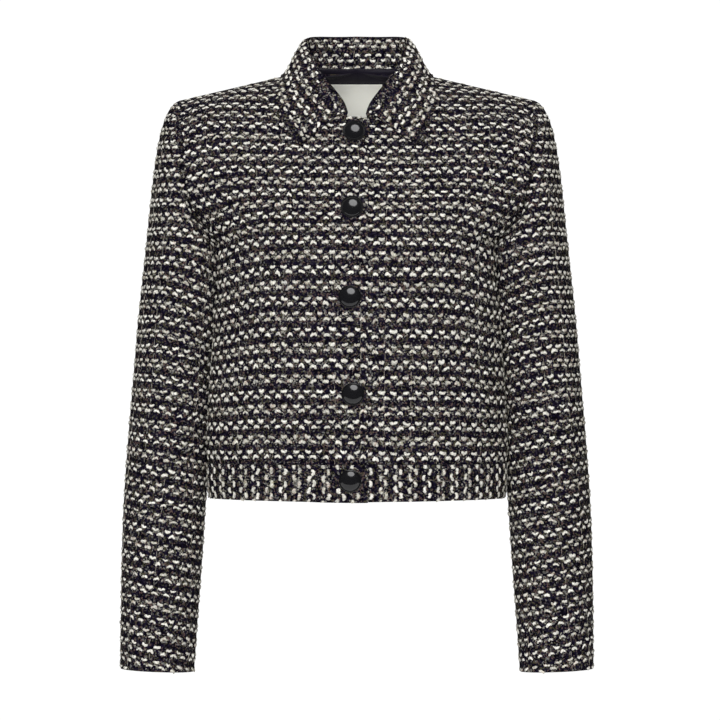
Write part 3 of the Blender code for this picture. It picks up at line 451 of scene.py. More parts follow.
def back_cloth():
    """Outer points and normals of the back, from the left side to the right."""
    u, level = back_grid()
    half = back(u, level, LEFT)
    points = np.concatenate([half[::-1], half[1:] * MIRROR])
    normals = outward(points)
    normals[:ACROSS_BACK_SHOULDER + 1, -1] = shoulder_normal(LEFT)
    normals[-ACROSS_BACK_SHOULDER - 1:, -1] = shoulder_normal(RIGHT)
    normals[0, :ROWS_BELOW + 1] = (LEFT, 0, 0)
    normals[-1, :ROWS_BELOW + 1] = (RIGHT, 0, 0)
    return raised_back(points, normals), normals


# %% [markdown]
# ## Setting in the sleeves
# A sleeve is a tube whose top is drawn to the shape of the armhole. Each column starts on the
# armhole, leaves the shoulder outwards, or the armpit downwards, and runs into the hanging tube.
# The tube is slightly squarer than an ellipse, and its cuff hangs lower on the inside.

# %% Sleeves
CAP_ROWS, TUBE_ROWS, SEAM_STEP = 24, 88, 30
CUFF_SLANT, UNDERARM_LEAN = 3.3, 0.6
CAP_DROOP, CAP_TURN, CAP_CROWD = -0.22, 0.12, 1.15
CAP_FIRST, CAP_LAST, UNDER_TURN = (0.125, 0.03), (0.42, 0.13), (1.75, 2.85)


def armhole_ring(side):
    """Armhole points from the shoulder tip down the front to the armpit and up the back."""
    levels = armhole_levels(ROWS_ABOVE + 1)[::-1]
    ahead = front(np.ones(len(levels)), levels, side)
    behind = back(np.ones(len(levels)), levels[::-1], side)
    return np.concatenate([ahead, behind[1:]])


def ring_angles(ring):
    """Angle round the sleeve for each armhole point, 0 at the tip and pi at the armpit."""
    half = len(ring) // 2
    ahead, behind = running_length(ring[:half + 1]), running_length(ring[half:])
    return np.concatenate([ahead / ahead[-1] * math.pi, math.pi * (1 + behind[1:] / behind[-1])])


def sleeve_ring(z, angles, side):
    cx, cy, hx, hy = sleeve_section(np.array([z]))[0]
    c, s = np.cos(angles), np.sin(angles)
    power = 2 / SLEEVE_SQUARE
    x = cx + hx * np.sign(c) * np.abs(c) ** power
    y = cy - hy * np.sign(s) * np.abs(s) ** power
    slant = CUFF_SLANT * smooth_step(SLEEVE_SECTIONS[-3][0], SLEEVE_SECTIONS[-1][0], z)
    return np.stack([x * side, y, z - slant * (0.5 - 0.5 * c)], axis=-1)


def sleeve_points(side):
    """Grid of the sleeve: columns round it, rows from armhole to cuff."""
    ring = armhole_ring(side)
    angles = ring_angles(ring)
    top = SLEEVE_SECTIONS[0][0]
    bicep, below = sleeve_ring(top, angles, side), sleeve_ring(top - 10.0, angles, side)
    reach = np.linalg.norm(bicep - ring, axis=1, keepdims=True)
    under = smooth_step(*UNDER_TURN, math.pi - np.abs(angles - math.pi))[:, None]
    facing = np.sin(angles)[:, None]
    out = np.array([side, 0, CAP_DROOP]) + facing * np.array([0, CAP_TURN, 0])
    leave = unit(out * (1 - under) + np.array([side * UNDERARM_LEAN, 0, -1.0]) * under)
    crown = 0.5 + 0.5 * np.cos(angles)[:, None]
    first = ring + leave * reach * (CAP_FIRST[0] + CAP_FIRST[1] * crown)
    last = bicep + unit(bicep - below) * reach * (CAP_LAST[0] + CAP_LAST[1] * crown)
    share = (np.linspace(0, 1, CAP_ROWS + 1) ** CAP_CROWD)[None, :, None]
    cap = bezier(ring[:, None], first[:, None], last[:, None], bicep[:, None], share)
    heights = np.linspace(top, SLEEVE_SECTIONS[-1][0], TUBE_ROWS + 1)[1:]
    tube = np.stack([sleeve_ring(z, angles, side) for z in heights], axis=1)
    return np.concatenate([cap, tube], axis=1), angles


def sleeve_normals(points):
    wrapped = np.concatenate([points[-2:-1], points, points[1:2]])
    normals = unit(np.cross(np.gradient(wrapped, axis=0)[1:-1], np.gradient(points, axis=1)))
    middle = points.mean(axis=0, keepdims=True)
    return normals * np.sign(np.sum(normals * (points - middle), axis=-1).mean())


def sleeve_cloth(side):
    """Outer points, normals and angles of the whole sleeve, creased."""
    points, angles = sleeve_points(side)
    normals = sleeve_normals(points)
    turn = np.degrees(angles)[:, None] + 0 * points[..., 2]
    folds = fold_height(SLEEVE_FOLDS, points[..., 2], turn)
    fade = smooth_step(0, 12, np.arange(points.shape[1]))[None, :]
    amount = 1.0 if side == LEFT else SMALLER_SIDE[2]
    return points + normals * (folds * fade * amount)[..., None], normals, angles


# %% [markdown]
# ## Where the yarns run
# To weave, each point of a panel needs two cloth coordinates: how far along the row it lies, and
# how far up the rows. They are summed step by step over the grid, splitting each step into its
# level part and its rising part in the cloth's surface. Where tweed drapes over the armpit or
# hangs round an arm its rows sag, so a sag in millimetres can be added to the rows. Above the
# bust the rows stand closer together, so there a few millimetres of cloth are added too.

# %% Cloth coordinates
def summed(points, way, axis):
    """Distance gone in a direction, summed step by step along one axis of a grid."""
    grid, way = np.moveaxis(points, axis, 0), np.moveaxis(way, axis, 0)
    steps = np.sum((grid[1:] - grid[:-1]) * unit(way[1:] + way[:-1]), axis=-1)
    return np.moveaxis(np.concatenate([0 * steps[:1], np.cumsum(steps, axis=0)]), 0, axis)


def cloth_places(points, normals, anchor):
    """Distance along the rows, from an anchor column, and up the rows from the first one."""
    level_way = unit(np.cross(np.array([0, 0, 1.0]), normals))
    rising_way = np.cross(normals, level_way)
    along, up = summed(points, level_way, 0), summed(points, rising_way, 1)
    along = along - along[anchor] + summed(points, level_way, 1)[anchor]
    return along, up + summed(points[:, :1], rising_way[:, :1], 0)


ARMPIT_X, ARMPIT_Z, ARMPIT_SAG = 158.0, -188.0, 17.0
ARMPIT_WIDE, ARMPIT_SPREAD = 36.0, (58.0, 139.0)
UPPER_TURN, UPPER_SAG, LOWER_SAG, UPPER_Z = (55, 180), 14.0, 20.0, (-470, -280)
INNER_TURN, INNER_Z, INNER_SPREAD, INNER_SAG = (55, 175), -225.0, (34.0, 80.0), 12.0
HANGING_Z = (-60, -170)
EASE, EASE_WIDTH, EASE_Z = 0.3, 45.0, (-480, -260)
CLOSER_Z = (-520, -345, -300, -182, -158, 60)           # heights
CLOSER = (-0.02, -0.02, -0.052, -0.052, 0.24, 0.24)     # how much closer the rows stand there
ROW_START = {RIGHT: 5.9, LEFT: 3.8}     # where the first row lies above the band's seam


def body_sag(points):
    """The rows of the body dip towards the armpit."""
    x = (np.abs(points[..., 0]) - ARMPIT_X) / ARMPIT_WIDE
    z = points[..., 2] - ARMPIT_Z
    z = z / np.where(z > 0, *ARMPIT_SPREAD)
    return ARMPIT_SAG * np.exp(-x * x - z * z)


def closer_rows(points):
    """Extra rows, in millimetres of cloth: above the bust the rows of the body stand closer."""
    z = np.arange(CLOSER_Z[0], CLOSER_Z[-1] + 1.0)
    extra = np.cumsum(np.interp(z, CLOSER_Z, CLOSER))
    return np.interp(points[..., 2] + body_sag(points), z, extra)


def sleeve_sag(points, angles):
    """The rows of a sleeve hang lower on its inner side, and dip again below the armpit."""
    turn = np.degrees(math.pi - np.abs(angles - math.pi))[:, None]
    upper, near = UPPER_SAG * smooth_step(*UPPER_TURN, turn), smooth_step(*INNER_TURN, turn)
    lower = LOWER_SAG * (0.5 - 0.5 * np.cos(angles)[:, None])
    share = smooth_step(*UPPER_Z, points[..., 2])
    hanging = smooth_step(*HANGING_Z, points[..., 2])
    z = points[..., 2] - INNER_Z
    z = z / np.where(z > 0, *INNER_SPREAD)
    return (upper * share + lower * (1 - share)) * hanging + INNER_SAG * near * np.exp(-z * z)


def sleeve_ease(line, travel):
    """The upper arm's cloth is eased together on the outside, so its floats stand closer."""
    return EASE * EASE_WIDTH * np.tanh(travel / EASE_WIDTH) * smooth_step(*EASE_Z, line[..., 2])


# %% [markdown]
# ## The weave chart
# This tweed is dark, with a thick cream slub that floats over the surface in short arched
# strokes. They come in pairs of rows half a step apart, and every other pair is spun with
# flecked yarn instead of clean cream. One small chart of four rows holds all that repeats.
# A row is followed across the grid as a line of equal height in the cloth, and the floats
# are set along it with a little unevenness, as a hand would see in the real thing.

# %% Chart and rows
FLOAT_STEP = 13.1       # from float to float along a row
PAIR_STEP = 15.65       # from pair to pair of rows
IN_PAIR = 5.5           # between the two rows of a pair
# offset up, offset along, arch (up in the middle is positive), flecked
CHART = (
    (0.0, 0.50, 1.0, 0.0),
    (IN_PAIR, 0.00, -0.75, 0.0),
    (PAIR_STEP, 0.50, 0.9, 1.0),
    (PAIR_STEP + IN_PAIR, 0.00, -0.65, 1.0),
)
REPEAT = 2 * PAIR_STEP
UNEVEN = 0.45           # spread of the floats along a row
OVERHANG = 2.4          # a float whose middle lies this far past a seam still shows its end
EDGE_ROOM, END_ROOM = 1.0, 0.8          # least distance to an edge; more where it hangs over
rng = np.random.default_rng(20)


def seam_crossing(fields, up, i, beside, height):
    """Values where a row runs off the cloth between a column and the one beside it."""
    if not 0 <= beside < len(up):
        return None
    for row in (0, -1):
        gap = up[beside, row] - up[i, row]
        share = (height - up[i, row]) / gap if gap else -1
        if 0.02 < share < 1:
            return [field[i, row] * (1 - share) + field[beside, row] * share for field in fields]
    return None


def row_line(fields, up, run, height, anchor):
    """One row over a run of columns: points, normals, distance along it and room to an edge."""
    columns = np.arange(up.shape[1])
    at = np.array([np.interp(height, up[i], columns) for i in run])
    low = np.minimum(at.astype(int), up.shape[1] - 2)

    def on_line(field):
        share = (at - low).reshape((-1,) + (1,) * (field.ndim - 2))
        return field[run, low] * (1 - share) + field[run, low + 1] * share

    line = [on_line(field) for field in fields]
    edge = np.minimum(height - up[run, 0], up[run, -1] - height)
    near = np.abs(run - anchor).argmin()
    for end, beside in ((0, run[0] - 1), (-1, run[-1] + 1)):
        crossing = seam_crossing(fields, up, run[end], beside, height)
        if crossing:
            at_end = len(line[0]) if end else 0
            line = [np.insert(f, at_end, value, axis=0) for f, value in zip(line, crossing)]
            edge, near = np.insert(edge, at_end, 0.0), near + (end == 0)
    points, facing, spot = line
    travel = running_length(points)
    if spot[-1] < spot[0]:
        travel = travel[near] - travel + spot[near]
        return points[::-1], facing[::-1], travel[::-1], edge[::-1]
    return points, facing, travel - travel[near] + spot[near], edge


def set_floats(line, facing, travel, edge, offset, step):
    """Places of floats along one row: point, normal, row direction, edge and room either side."""
    number = np.arange(math.ceil(travel[0] / step - offset) - 1,
                       math.floor(travel[-1] / step - offset) + 2)
    place = (number + offset) * step + rng.normal(0, UNEVEN, len(number))
    place = place[(place > travel[0] - OVERHANG) & (place < travel[-1] + OVERHANG)]
    way = np.gradient(line, axis=0)
    pick = resampled(np.column_stack([line, facing, way, edge]), travel, place)
    beyond = place - np.clip(place, travel[0], travel[-1])
    pick[:, 0:3] += unit(pick[:, 6:9]) * beyond[:, None]
    inside = pick[:, 9] > EDGE_ROOM + END_ROOM * np.abs(beyond)
    room = np.stack([place - travel[0], travel[-1] - place], axis=1)
    return np.concatenate([pick, room], axis=1)[inside]


def lay_rows(points, normals, along, up, anchor, step=FLOAT_STEP, ease=None):
    """Float places on a grid; the last three values are the arch, fleck and height of the row."""
    found = []
    for turn in range(math.floor(up.min() / REPEAT) - 1, math.ceil(up.max() / REPEAT) + 1):
        for rise, offset, arch, fleck in CHART:
            height = turn * REPEAT + rise
            crossed = np.flatnonzero((up[:, 0] <= height) & (height <= up[:, -1]))
            for run in np.split(crossed, np.flatnonzero(np.diff(crossed) > 1) + 1):
                if len(run) < 3:
                    continue
                line, facing, travel, edge = row_line((points, normals, along), up, run, height,
                                                      anchor)
                if ease:
                    travel = travel + ease(line, travel)
                places = set_floats(line, facing, travel, edge, offset, step)
                kind = np.tile([arch, fleck, height], (len(places), 1))
                found.append(np.concatenate([places, kind], axis=1))
    return np.concatenate(found)


# %% [markdown]
# ## One float of yarn
# A float is a short sausage of loose slub: thick in the middle, tapering where it dives back
# into the cloth, and bent like a small bird's wings. One sausage is drawn as a few rings of
# points, and copies are bent, stretched and tinted for every place in the chart, with painted
# shade on their sides and ends. Joined into one mesh for each panel, thousands of them stay
# quick to render and cast true small shadows.

# %% Floats
FLOAT_SHAPE = (3.95, 1.8, 1.8)        # half length, half width, arch
FLOAT_HIGH, RINGS, CORNERS = 1.1, 9, 5
# how uneven the floats are in their tilt, length, lumps, thickness, top of the arch and bend
TILT, LONG, LUMPY, THICK, SKEW, BENT = 0.13, 0.09, 0.14, 0.12, 0.17, 0.3
WANDER, ASIDE, SUNK, WAIST = 0.2, 0.38, 0.55, 0.22
THINNEST, END_GAP, SIDE_GAP = 0.3, 0.15, 0.7
CREAM = np.array([0.90, 0.89, 0.835])
FLECKS = np.array([[0.27, 0.25, 0.13], [0.36, 0.22, 0.16],
                   [0.16, 0.16, 0.17], [0.44, 0.42, 0.28]])


def store(mesh, name, kind, key, values):
    layer = mesh.attributes.new(name, kind, "POINT")
    layer.data.foreach_set(key, np.ascontiguousarray(values, np.float32).ravel())


def new_piece(name, corners, faces, *finishes):
    """A smooth mesh, from points in millimetres, as a piece of the scene."""
    mesh = bpy.data.meshes.new(name)
    mesh.from_pydata((corners * MM).tolist(), [], faces)
    for finish in finishes:
        mesh.materials.append(finish)
    mesh.shade_smooth()
    piece = bpy.data.objects.new(name, mesh)
    bpy.context.scene.collection.objects.link(piece)
    return piece


def float_faces(count):
    """Quads round each float and a cap at both of its ends."""
    ring = np.arange(CORNERS)
    quads = []
    for k in range(RINGS - 1):
        a, b = k * CORNERS + ring, k * CORNERS + (ring + 1) % CORNERS
        quads.append(np.stack([a, a + CORNERS, b + CORNERS, b], axis=1))
    caps = np.array([ring, ring[::-1] + (RINGS - 1) * CORNERS])
    base = (np.arange(count) * RINGS * CORNERS)[:, None, None]
    round_faces = (np.concatenate(quads)[None] + base).reshape(-1, 4).tolist()
    return round_faces + (caps[None] + base).reshape(-1, CORNERS).tolist()


def yarn_mesh(name, places, finish, shape):
    """One mesh of bent, tapering floats at all the places of lay_rows."""
    count = len(places)
    centre, facing, way = places[:, 0:3], unit(places[:, 3:6]), places[:, 6:9]
    edge, room, arch, fleck = places[:, 9], places[:, 10:12], places[:, 12], places[:, 13]
    way = unit(way - facing * np.sum(way * facing, axis=1, keepdims=True))
    rise = np.cross(facing, way)
    tilt = rng.normal(0, TILT, count)[:, None]
    way, rise = way * np.cos(tilt) + rise * np.sin(tilt), rise * np.cos(tilt) - way * np.sin(tilt)
    s, around = np.linspace(-1, 1, RINGS), np.linspace(0, math.pi, CORNERS)
    half = shape[0] * rng.normal(1, LONG, (count, 1)).clip(0.75, 1.25)
    start = np.maximum(-half, END_GAP - room[:, :1])
    end = np.minimum(half, room[:, 1:] - END_GAP)
    along = start + (end - start) * (s[None, :] + 1) / 2
    s = along / half
    taper = (1 - np.abs(s) ** 2.8).clip(0) ** 0.6 * (1 - WAIST * np.exp(-(s / WAIST) ** 2))
    lump = 1 + rng.normal(0, LUMPY, (count, RINGS))
    wide = shape[1] * rng.normal(1, THICK, (count, 1)).clip(0.7, 1.3) * taper * lump
    wide = np.maximum(wide, THINNEST)
    high = FLOAT_HIGH * rng.normal(1, THICK, (count, 1)) * (1 - s**2).clip(0) ** 0.6 * lump
    skew = rng.normal(0, SKEW, (count, 1))
    bend = arch[:, None] * shape[2] * rng.normal(1, BENT, (count, 1))
    middle = bend * (0.5 - np.abs(s - skew))
    middle = middle + rng.normal(0, WANDER, (count, RINGS)) + rng.normal(0, ASIDE, (count, 1))
    middle = np.clip(middle, -(edge[:, None] - SIDE_GAP), edge[:, None] - SIDE_GAP)
    sink = -SUNK * np.abs(s) ** 3 - 0.1
    out = sink[..., None] + high[..., None] * np.sin(around)
    side = middle[..., None] + wide[..., None] * np.cos(around)
    corners = (centre[:, None, None] + way[:, None, None] * along[..., None, None]
               + rise[:, None, None] * side[..., None] + facing[:, None, None] * out[..., None])
    dull = rng.normal(1 - 0.07 * fleck[:, None], 0.11, (count, 1)).clip(0.5, 1.1)
    tint = (CREAM * dull)[:, None, None]
    other = FLECKS[rng.integers(0, len(FLECKS), (count, RINGS))][:, :, None]
    mix = rng.uniform(0, 1, (count, RINGS, CORNERS)) ** 2.2 * (0.25 + 0.65 * fleck[:, None, None])
    # Painted shade: each float's sides are coloured darker than its top, and it darkens towards its
    # ends where it dives into the cloth. Its sides also take more of the darker fleck colours,
    # partly the fuzz's own colour and partly painted shade. The small random spread on top is the
    # yarn's own uneven tone.
    crest = np.sin(around).clip(0, 1) ** 0.6
    mix = (mix + 0.6 * (1 - crest))[..., None].clip(0, 1)
    shade = (0.5 + 0.5 * crest) * (1 - 0.2 * np.abs(s[..., None]) ** 3)
    shade = shade + rng.normal(0, 0.05, (count, RINGS, CORNERS))
    colour = (tint * (1 - mix) + other * mix) * shade[..., None].clip(0.1, 1.1)
    colour = np.concatenate([colour, np.ones(colour.shape[:3] + (1,))], axis=-1).reshape(-1, 4)
    fibre = np.stack([np.broadcast_to(along[..., None], side.shape), side,
                      np.broadcast_to(np.arange(count)[:, None, None] * 7.3, side.shape)], axis=-1)
    piece = new_piece(name, corners.reshape(-1, 3), float_faces(count), finish)
    store(piece.data, "yarn_colour", "FLOAT_COLOR", "color", colour)
    store(piece.data, "fibre", "FLOAT_VECTOR", "vector", fibre.reshape(-1, 3) * MM)
    return piece


# %% [markdown]
# ## Thin warp lines
# Between the floats a few thin fancy yarns run straight up the cloth, about two floats apart,
# beige in one place and pinkish in the next. They dip under the dark ground and come up again.
# Each is a narrow ribbon with a raised middle that follows a line of equal distance along.

# %% Warp lines
WARP_STEP, WARP_START, WARP_HALF, WARP_PART = 27.2, 3.4, 0.32, 2.4
WARP_COLOURS = np.array([[0.34, 0.31, 0.24], [0.34, 0.27, 0.24],
                         [0.27, 0.26, 0.23], [0.42, 0.39, 0.31]])
WARP_MARGIN, WARP_END, LEAST_PARTS = 2, 0.6, 4
SWAY, SWAY_LENGTH, STRAY = 0.5, 5.2, 0.35           # soft waves to the sides, and random ones
WARP_SINK, WARP_WAVE, WARP_UNEVEN = -0.22, 0.62, 0.16
TINT_STEP = 12                                      # parts from one tint to the next


def warp_strand(line, facing, number):
    """Corners and colours of one ribbon along a line: two edges and a raised middle."""
    length = running_length(line)
    count = int(length[-1] / WARP_PART)
    if count < LEAST_PARTS:
        return None
    wanted = np.linspace(WARP_END, length[-1] - WARP_END, count)
    line, facing = resampled(line, length, wanted), unit(resampled(facing, length, wanted))
    across = unit(np.cross(facing, np.gradient(line, axis=0)))
    stray = np.cumsum(rng.normal(0, STRAY, count))
    stray = stray - np.linspace(stray[0], stray[-1], count)
    sway = SWAY * stray + SWAY * np.sin(wanted / SWAY_LENGTH + number)
    line = line + across * sway[:, None]
    wave = np.sin(wanted * 2 * math.pi / PAIR_STEP + rng.uniform(0, 6))
    lift = WARP_SINK + WARP_WAVE * wave + rng.normal(0, WARP_UNEVEN, count)
    half = WARP_HALF * rng.uniform(0.7, 1.3, count)[:, None]
    corners = [line + across * half * shift + facing * (lift + out)[:, None]
               for shift, out in ((-1, -0.45), (0, 0.25), (1, -0.45))]
    stops = np.arange(0, count + TINT_STEP, TINT_STEP)
    shade = np.interp(np.arange(count), stops, rng.uniform(0, 1, len(stops)))[:, None]
    pair = WARP_COLOURS[rng.integers(0, 4, 2)]
    tint = pair[0] * shade + pair[1] * (1 - shade)
    return corners, np.tile(tint * rng.uniform(0.75, 1.2, (count, 1)), (3, 1))


def warp_mesh(name, points, normals, along, finish):
    """Thin ribbons along lines of equal distance along the rows."""
    rows, order = np.arange(points.shape[0]), np.sign(along[-1, 0] - along[0, 0])
    first, last = math.ceil(along.min() / WARP_STEP), math.floor(along.max() / WARP_STEP)
    corners, colours, quads, start = [], [], [], 0
    for number in range(first, last + 1):
        place = number * WARP_STEP + WARP_START
        crossed = np.flatnonzero((along.min(axis=0) + WARP_MARGIN <= place)
                                 & (place <= along.max(axis=0) - WARP_MARGIN))
        for run in np.split(crossed, np.flatnonzero(np.diff(crossed) > 1) + 1):
            if len(run) < LEAST_PARTS:
                continue
            at = np.array([np.interp(place * order, along[:, j] * order, rows) for j in run])
            low = np.minimum(at.astype(int), points.shape[0] - 2)
            share = (at - low)[:, None]
            line, facing = (grid[low, run] * (1 - share) + grid[low + 1, run] * share
                            for grid in (points, normals))
            strand = warp_strand(line, facing, number)
            if strand is None:
                continue
            corners += strand[0]
            colours.append(strand[1])
            count = len(strand[0][0])
            n = np.arange(count - 1)
            for c in range(3):
                a, b = start + c * count + n, start + ((c + 1) % 3) * count + n
                quads.append(np.stack([a, a + 1, b + 1, b], axis=1))
            start += 3 * count
    piece = new_piece(name, np.concatenate(corners), np.concatenate(quads).tolist(), finish)
    colour = np.concatenate(colours)
    store(piece.data, "yarn_colour", "FLOAT_COLOR", "color", np.c_[colour, np.ones(len(colour))])
    return piece


# %% [markdown]
# ## Finishes
# A finish is built from nodes. The dark ground of the tweed is a cross weave of thin matte yarns
# with tiny flecks of grey, olive and brown, drawn in cloth coordinates so that it turns with the
# panel. The floats take the tint stored on their points and get fine fibres along the yarn. The
# lining is a smooth satin, the label a fine ribbon weave, and the buttons polished plastic.

# %% Node helpers
def new_finish(name, colour, roughness, **sockets):
    """A Principled material and its node tree; plain values sit on the shader's own sockets."""
    material = bpy.data.materials.new(name)
    material.use_nodes = True
    tree = material.node_tree
    shader = tree.nodes["Principled BSDF"]
    shader.inputs["Base Color"].default_value = (*colour, 1)
    shader.inputs["Roughness"].default_value = roughness
    for key, value in sockets.items():
        shader.inputs[key.replace("_", " ")].default_value = value
    return material, tree, shader


def node(tree, kind, inputs=None, **settings):
    made = tree.nodes.new(kind)
    for key, value in settings.items():
        setattr(made, key, value)
    for key, value in (inputs or {}).items():
        if hasattr(value, "links"):
            tree.links.new(value, made.inputs[key])
        else:
            made.inputs[key].default_value = value
    return made


def maths(tree, operation, a, b=0.0, c=0.0):
    return node(tree, "ShaderNodeMath", {0: a, 1: b, 2: c}, operation=operation).outputs[0]


def mixed(tree, factor, a, b):
    made = node(tree, "ShaderNodeMix", data_type="RGBA")
    for socket, value in ((made.inputs[0], factor), (made.inputs[6], a), (made.inputs[7], b)):
        if hasattr(value, "links"):
            tree.links.new(value, socket)
        else:
            socket.default_value = value if np.isscalar(value) else (*value, 1)
    return made.outputs[2]


def bumped(tree, shader, height, distance):
    made = node(tree, "ShaderNodeBump", {"Height": height, "Distance": distance, "Strength": 1.0})
    tree.links.new(made.outputs[0], shader.inputs["Normal"])


# %% Tweed finishes
GROUND_YARN, GROUND_START = 0.0024, 2.85        # width of its yarns in m, phase of the rows in mm
# share of the flecks at which each tone begins, from the dark yarns to the pale specks
GROUND_TONES = (
    (0.0, (0.0020, 0.0015, 0.0036)), (0.32, (0.0065, 0.0048, 0.0150)),
    (0.53, (0.019, 0.016, 0.024)), (0.67, (0.048, 0.045, 0.028)), (0.78, (0.082, 0.054, 0.050)),
    (0.86, (0.120, 0.118, 0.114)), (0.945, (0.24, 0.23, 0.20)),
)


def wave(tree, value, length):
    """Sine of a distance, with one wave for each length."""
    return maths(tree, "SINE", maths(tree, "MULTIPLY", value, 2 * math.pi / length))


def ground_finish(name):
    """Dark cross weave with flecks, in the cloth's own coordinates."""
    material, tree, shader = new_finish(name, (0.02, 0.018, 0.022), 1.0, Specular_IOR_Level=0.04)
    cloth = node(tree, "ShaderNodeAttribute", attribute_name="cloth").outputs["Vector"]
    solid = node(tree, "ShaderNodeTexCoord").outputs["Object"]
    wobble = node(tree, "ShaderNodeTexNoise", {"Vector": solid, "Scale": 260.0, "Detail": 2.0})
    shift = node(tree, "ShaderNodeVectorMath", {0: wobble.outputs["Color"], "Scale": 0.0022},
                 operation="SCALE").outputs[0]
    place = node(tree, "ShaderNodeVectorMath", {0: cloth, 1: shift}, operation="ADD").outputs[0]
    spot = node(tree, "ShaderNodeVectorMath", {0: solid, 1: shift}, operation="ADD").outputs[0]
    flecks = node(tree, "ShaderNodeTexVoronoi", {"Vector": spot, "Scale": 640.0, "Randomness": 1.0})
    parts = node(tree, "ShaderNodeSeparateColor", {"Color": flecks.outputs["Color"]})
    xyz = node(tree, "ShaderNodeSeparateXYZ", {0: place})
    turn = maths(tree, "MULTIPLY_ADD", xyz.outputs[1], 2 * math.pi / (PAIR_STEP * MM),
                 -GROUND_START * 2 * math.pi / PAIR_STEP)
    half_turn = maths(tree, "MULTIPLY_ADD", turn, 0.5, math.pi)
    flecked = maths(tree, "MULTIPLY_ADD", maths(tree, "COSINE", half_turn), 0.03, parts.outputs[0])
    pick = maths(tree, "MULTIPLY_ADD", maths(tree, "COSINE", turn), 0.07, flecked)
    tone = node(tree, "ShaderNodeValToRGB", {"Fac": pick})
    ramp = tone.color_ramp
    ramp.interpolation = "CONSTANT"
    ramp.elements.remove(ramp.elements[1])
    ramp.elements[0].color = (*GROUND_TONES[0][1], 1)
    for begins, colour in GROUND_TONES[1:]:
        ramp.elements.new(begins).color = (*colour, 1)
    tree.links.new(tone.outputs[0], shader.inputs["Base Color"])
    weft, warp = (wave(tree, xyz.outputs[k], GROUND_YARN) for k in (1, 0))
    cross = maths(tree, "MULTIPLY", weft, warp)
    fuzz = node(tree, "ShaderNodeTexNoise", {"Vector": cloth, "Scale": 900.0, "Detail": 3.0})
    height = maths(tree, "MULTIPLY_ADD", cross, 0.35, fuzz.outputs["Fac"])
    bumped(tree, shader, height, 0.0009)
    return material


def two_tone(tree, shader, fibres, shade, offset, depth):
    """The tint stored on the yarn's points, darkened between its fibres, with a fine relief."""
    tint = node(tree, "ShaderNodeAttribute", attribute_name="yarn_colour").outputs["Color"]
    dark = node(tree, "ShaderNodeVectorMath", {0: tint, 1: shade}, operation="MULTIPLY").outputs[0]
    share = maths(tree, "MULTIPLY_ADD", fibres, -3.0, offset)
    share = node(tree, "ShaderNodeClamp", {0: share}).outputs[0]
    tree.links.new(mixed(tree, share, tint, dark), shader.inputs["Base Color"])
    bumped(tree, shader, fibres, depth)


def float_finish(name):
    """Tinted slub with fibres that run along the yarn."""
    material, tree, shader = new_finish(name, (0.8, 0.77, 0.66), 1.0, Specular_IOR_Level=0.08)
    fibre = node(tree, "ShaderNodeAttribute", attribute_name="fibre").outputs["Vector"]
    stretch = node(tree, "ShaderNodeVectorMath", {0: fibre, 1: (420.0, 1500.0, 1000.0)},
                   operation="MULTIPLY").outputs[0]
    strands = node(tree, "ShaderNodeTexNoise", {"Vector": stretch, "Scale": 1.0, "Detail": 2.0})
    two_tone(tree, shader, strands.outputs["Fac"], (0.42, 0.40, 0.36), 1.85, 0.0008)
    return material


def warp_finish(name):
    """Thin fancy yarn, mottled."""
    material, tree, shader = new_finish(name, (0.42, 0.37, 0.25), 0.9)
    place = node(tree, "ShaderNodeTexCoord").outputs["Object"]
    mottle = node(tree, "ShaderNodeTexNoise", {"Vector": place, "Scale": 900.0, "Detail": 1.0})
    two_tone(tree, shader, mottle.outputs["Fac"], (0.35, 0.35, 0.35), 1.9, 0.0004)
    return material


def lining_finish(name):
    """Smooth black satin: fine ribs and a soft sheen."""
    material, tree, shader = new_finish(name, (0.010, 0.008, 0.014), 0.5, Specular_IOR_Level=0.3)
    place = node(tree, "ShaderNodeTexCoord").outputs["Object"]
    cloud = node(tree, "ShaderNodeTexNoise", {"Vector": place, "Scale": 30.0, "Detail": 3.0})
    colour = mixed(tree, cloud.outputs["Fac"], (0.0075, 0.006, 0.0115), (0.013, 0.0105, 0.019))
    tree.links.new(colour, shader.inputs["Base Color"])
    ribs = node(tree, "ShaderNodeTexWave", {"Vector": place, "Scale": 900.0, "Distortion": 1.5},
                bands_direction="DIAGONAL")
    height = maths(tree, "MULTIPLY_ADD", cloud.outputs["Fac"], 3.0, ribs.outputs["Fac"])
    bumped(tree, shader, height, 0.0002)
    return material


GROUND = ground_finish("tweed_ground")
FLOATS = float_finish("cream_float")
WARPS = warp_finish("fancy_warp")
SATIN = lining_finish("black_satin")

# %% [markdown]
# ## Sewing a shell
# Each piece of cloth becomes a thin closed shell: the outer face, the same face moved in by the
# cloth's thickness, and a rim that joins them. Along a seam the outer face rolls in a little, so
# that a fine groove shows between two pieces. The inside of the body and sleeves takes the
# lining's finish; the band and the collar show tweed on both sides.

# %% Shells
TWEED, BAND_TWEED, COLLAR_TWEED, BAND_PROUD = 3.0, 3.4, 2.6, 1.0
SEAM_GAP, CLEAR, LEAF_CLEAR = 0.3, 0.4, 1.1
SEAM_ROLL, ROLL_REACH = 0.2, 2.0


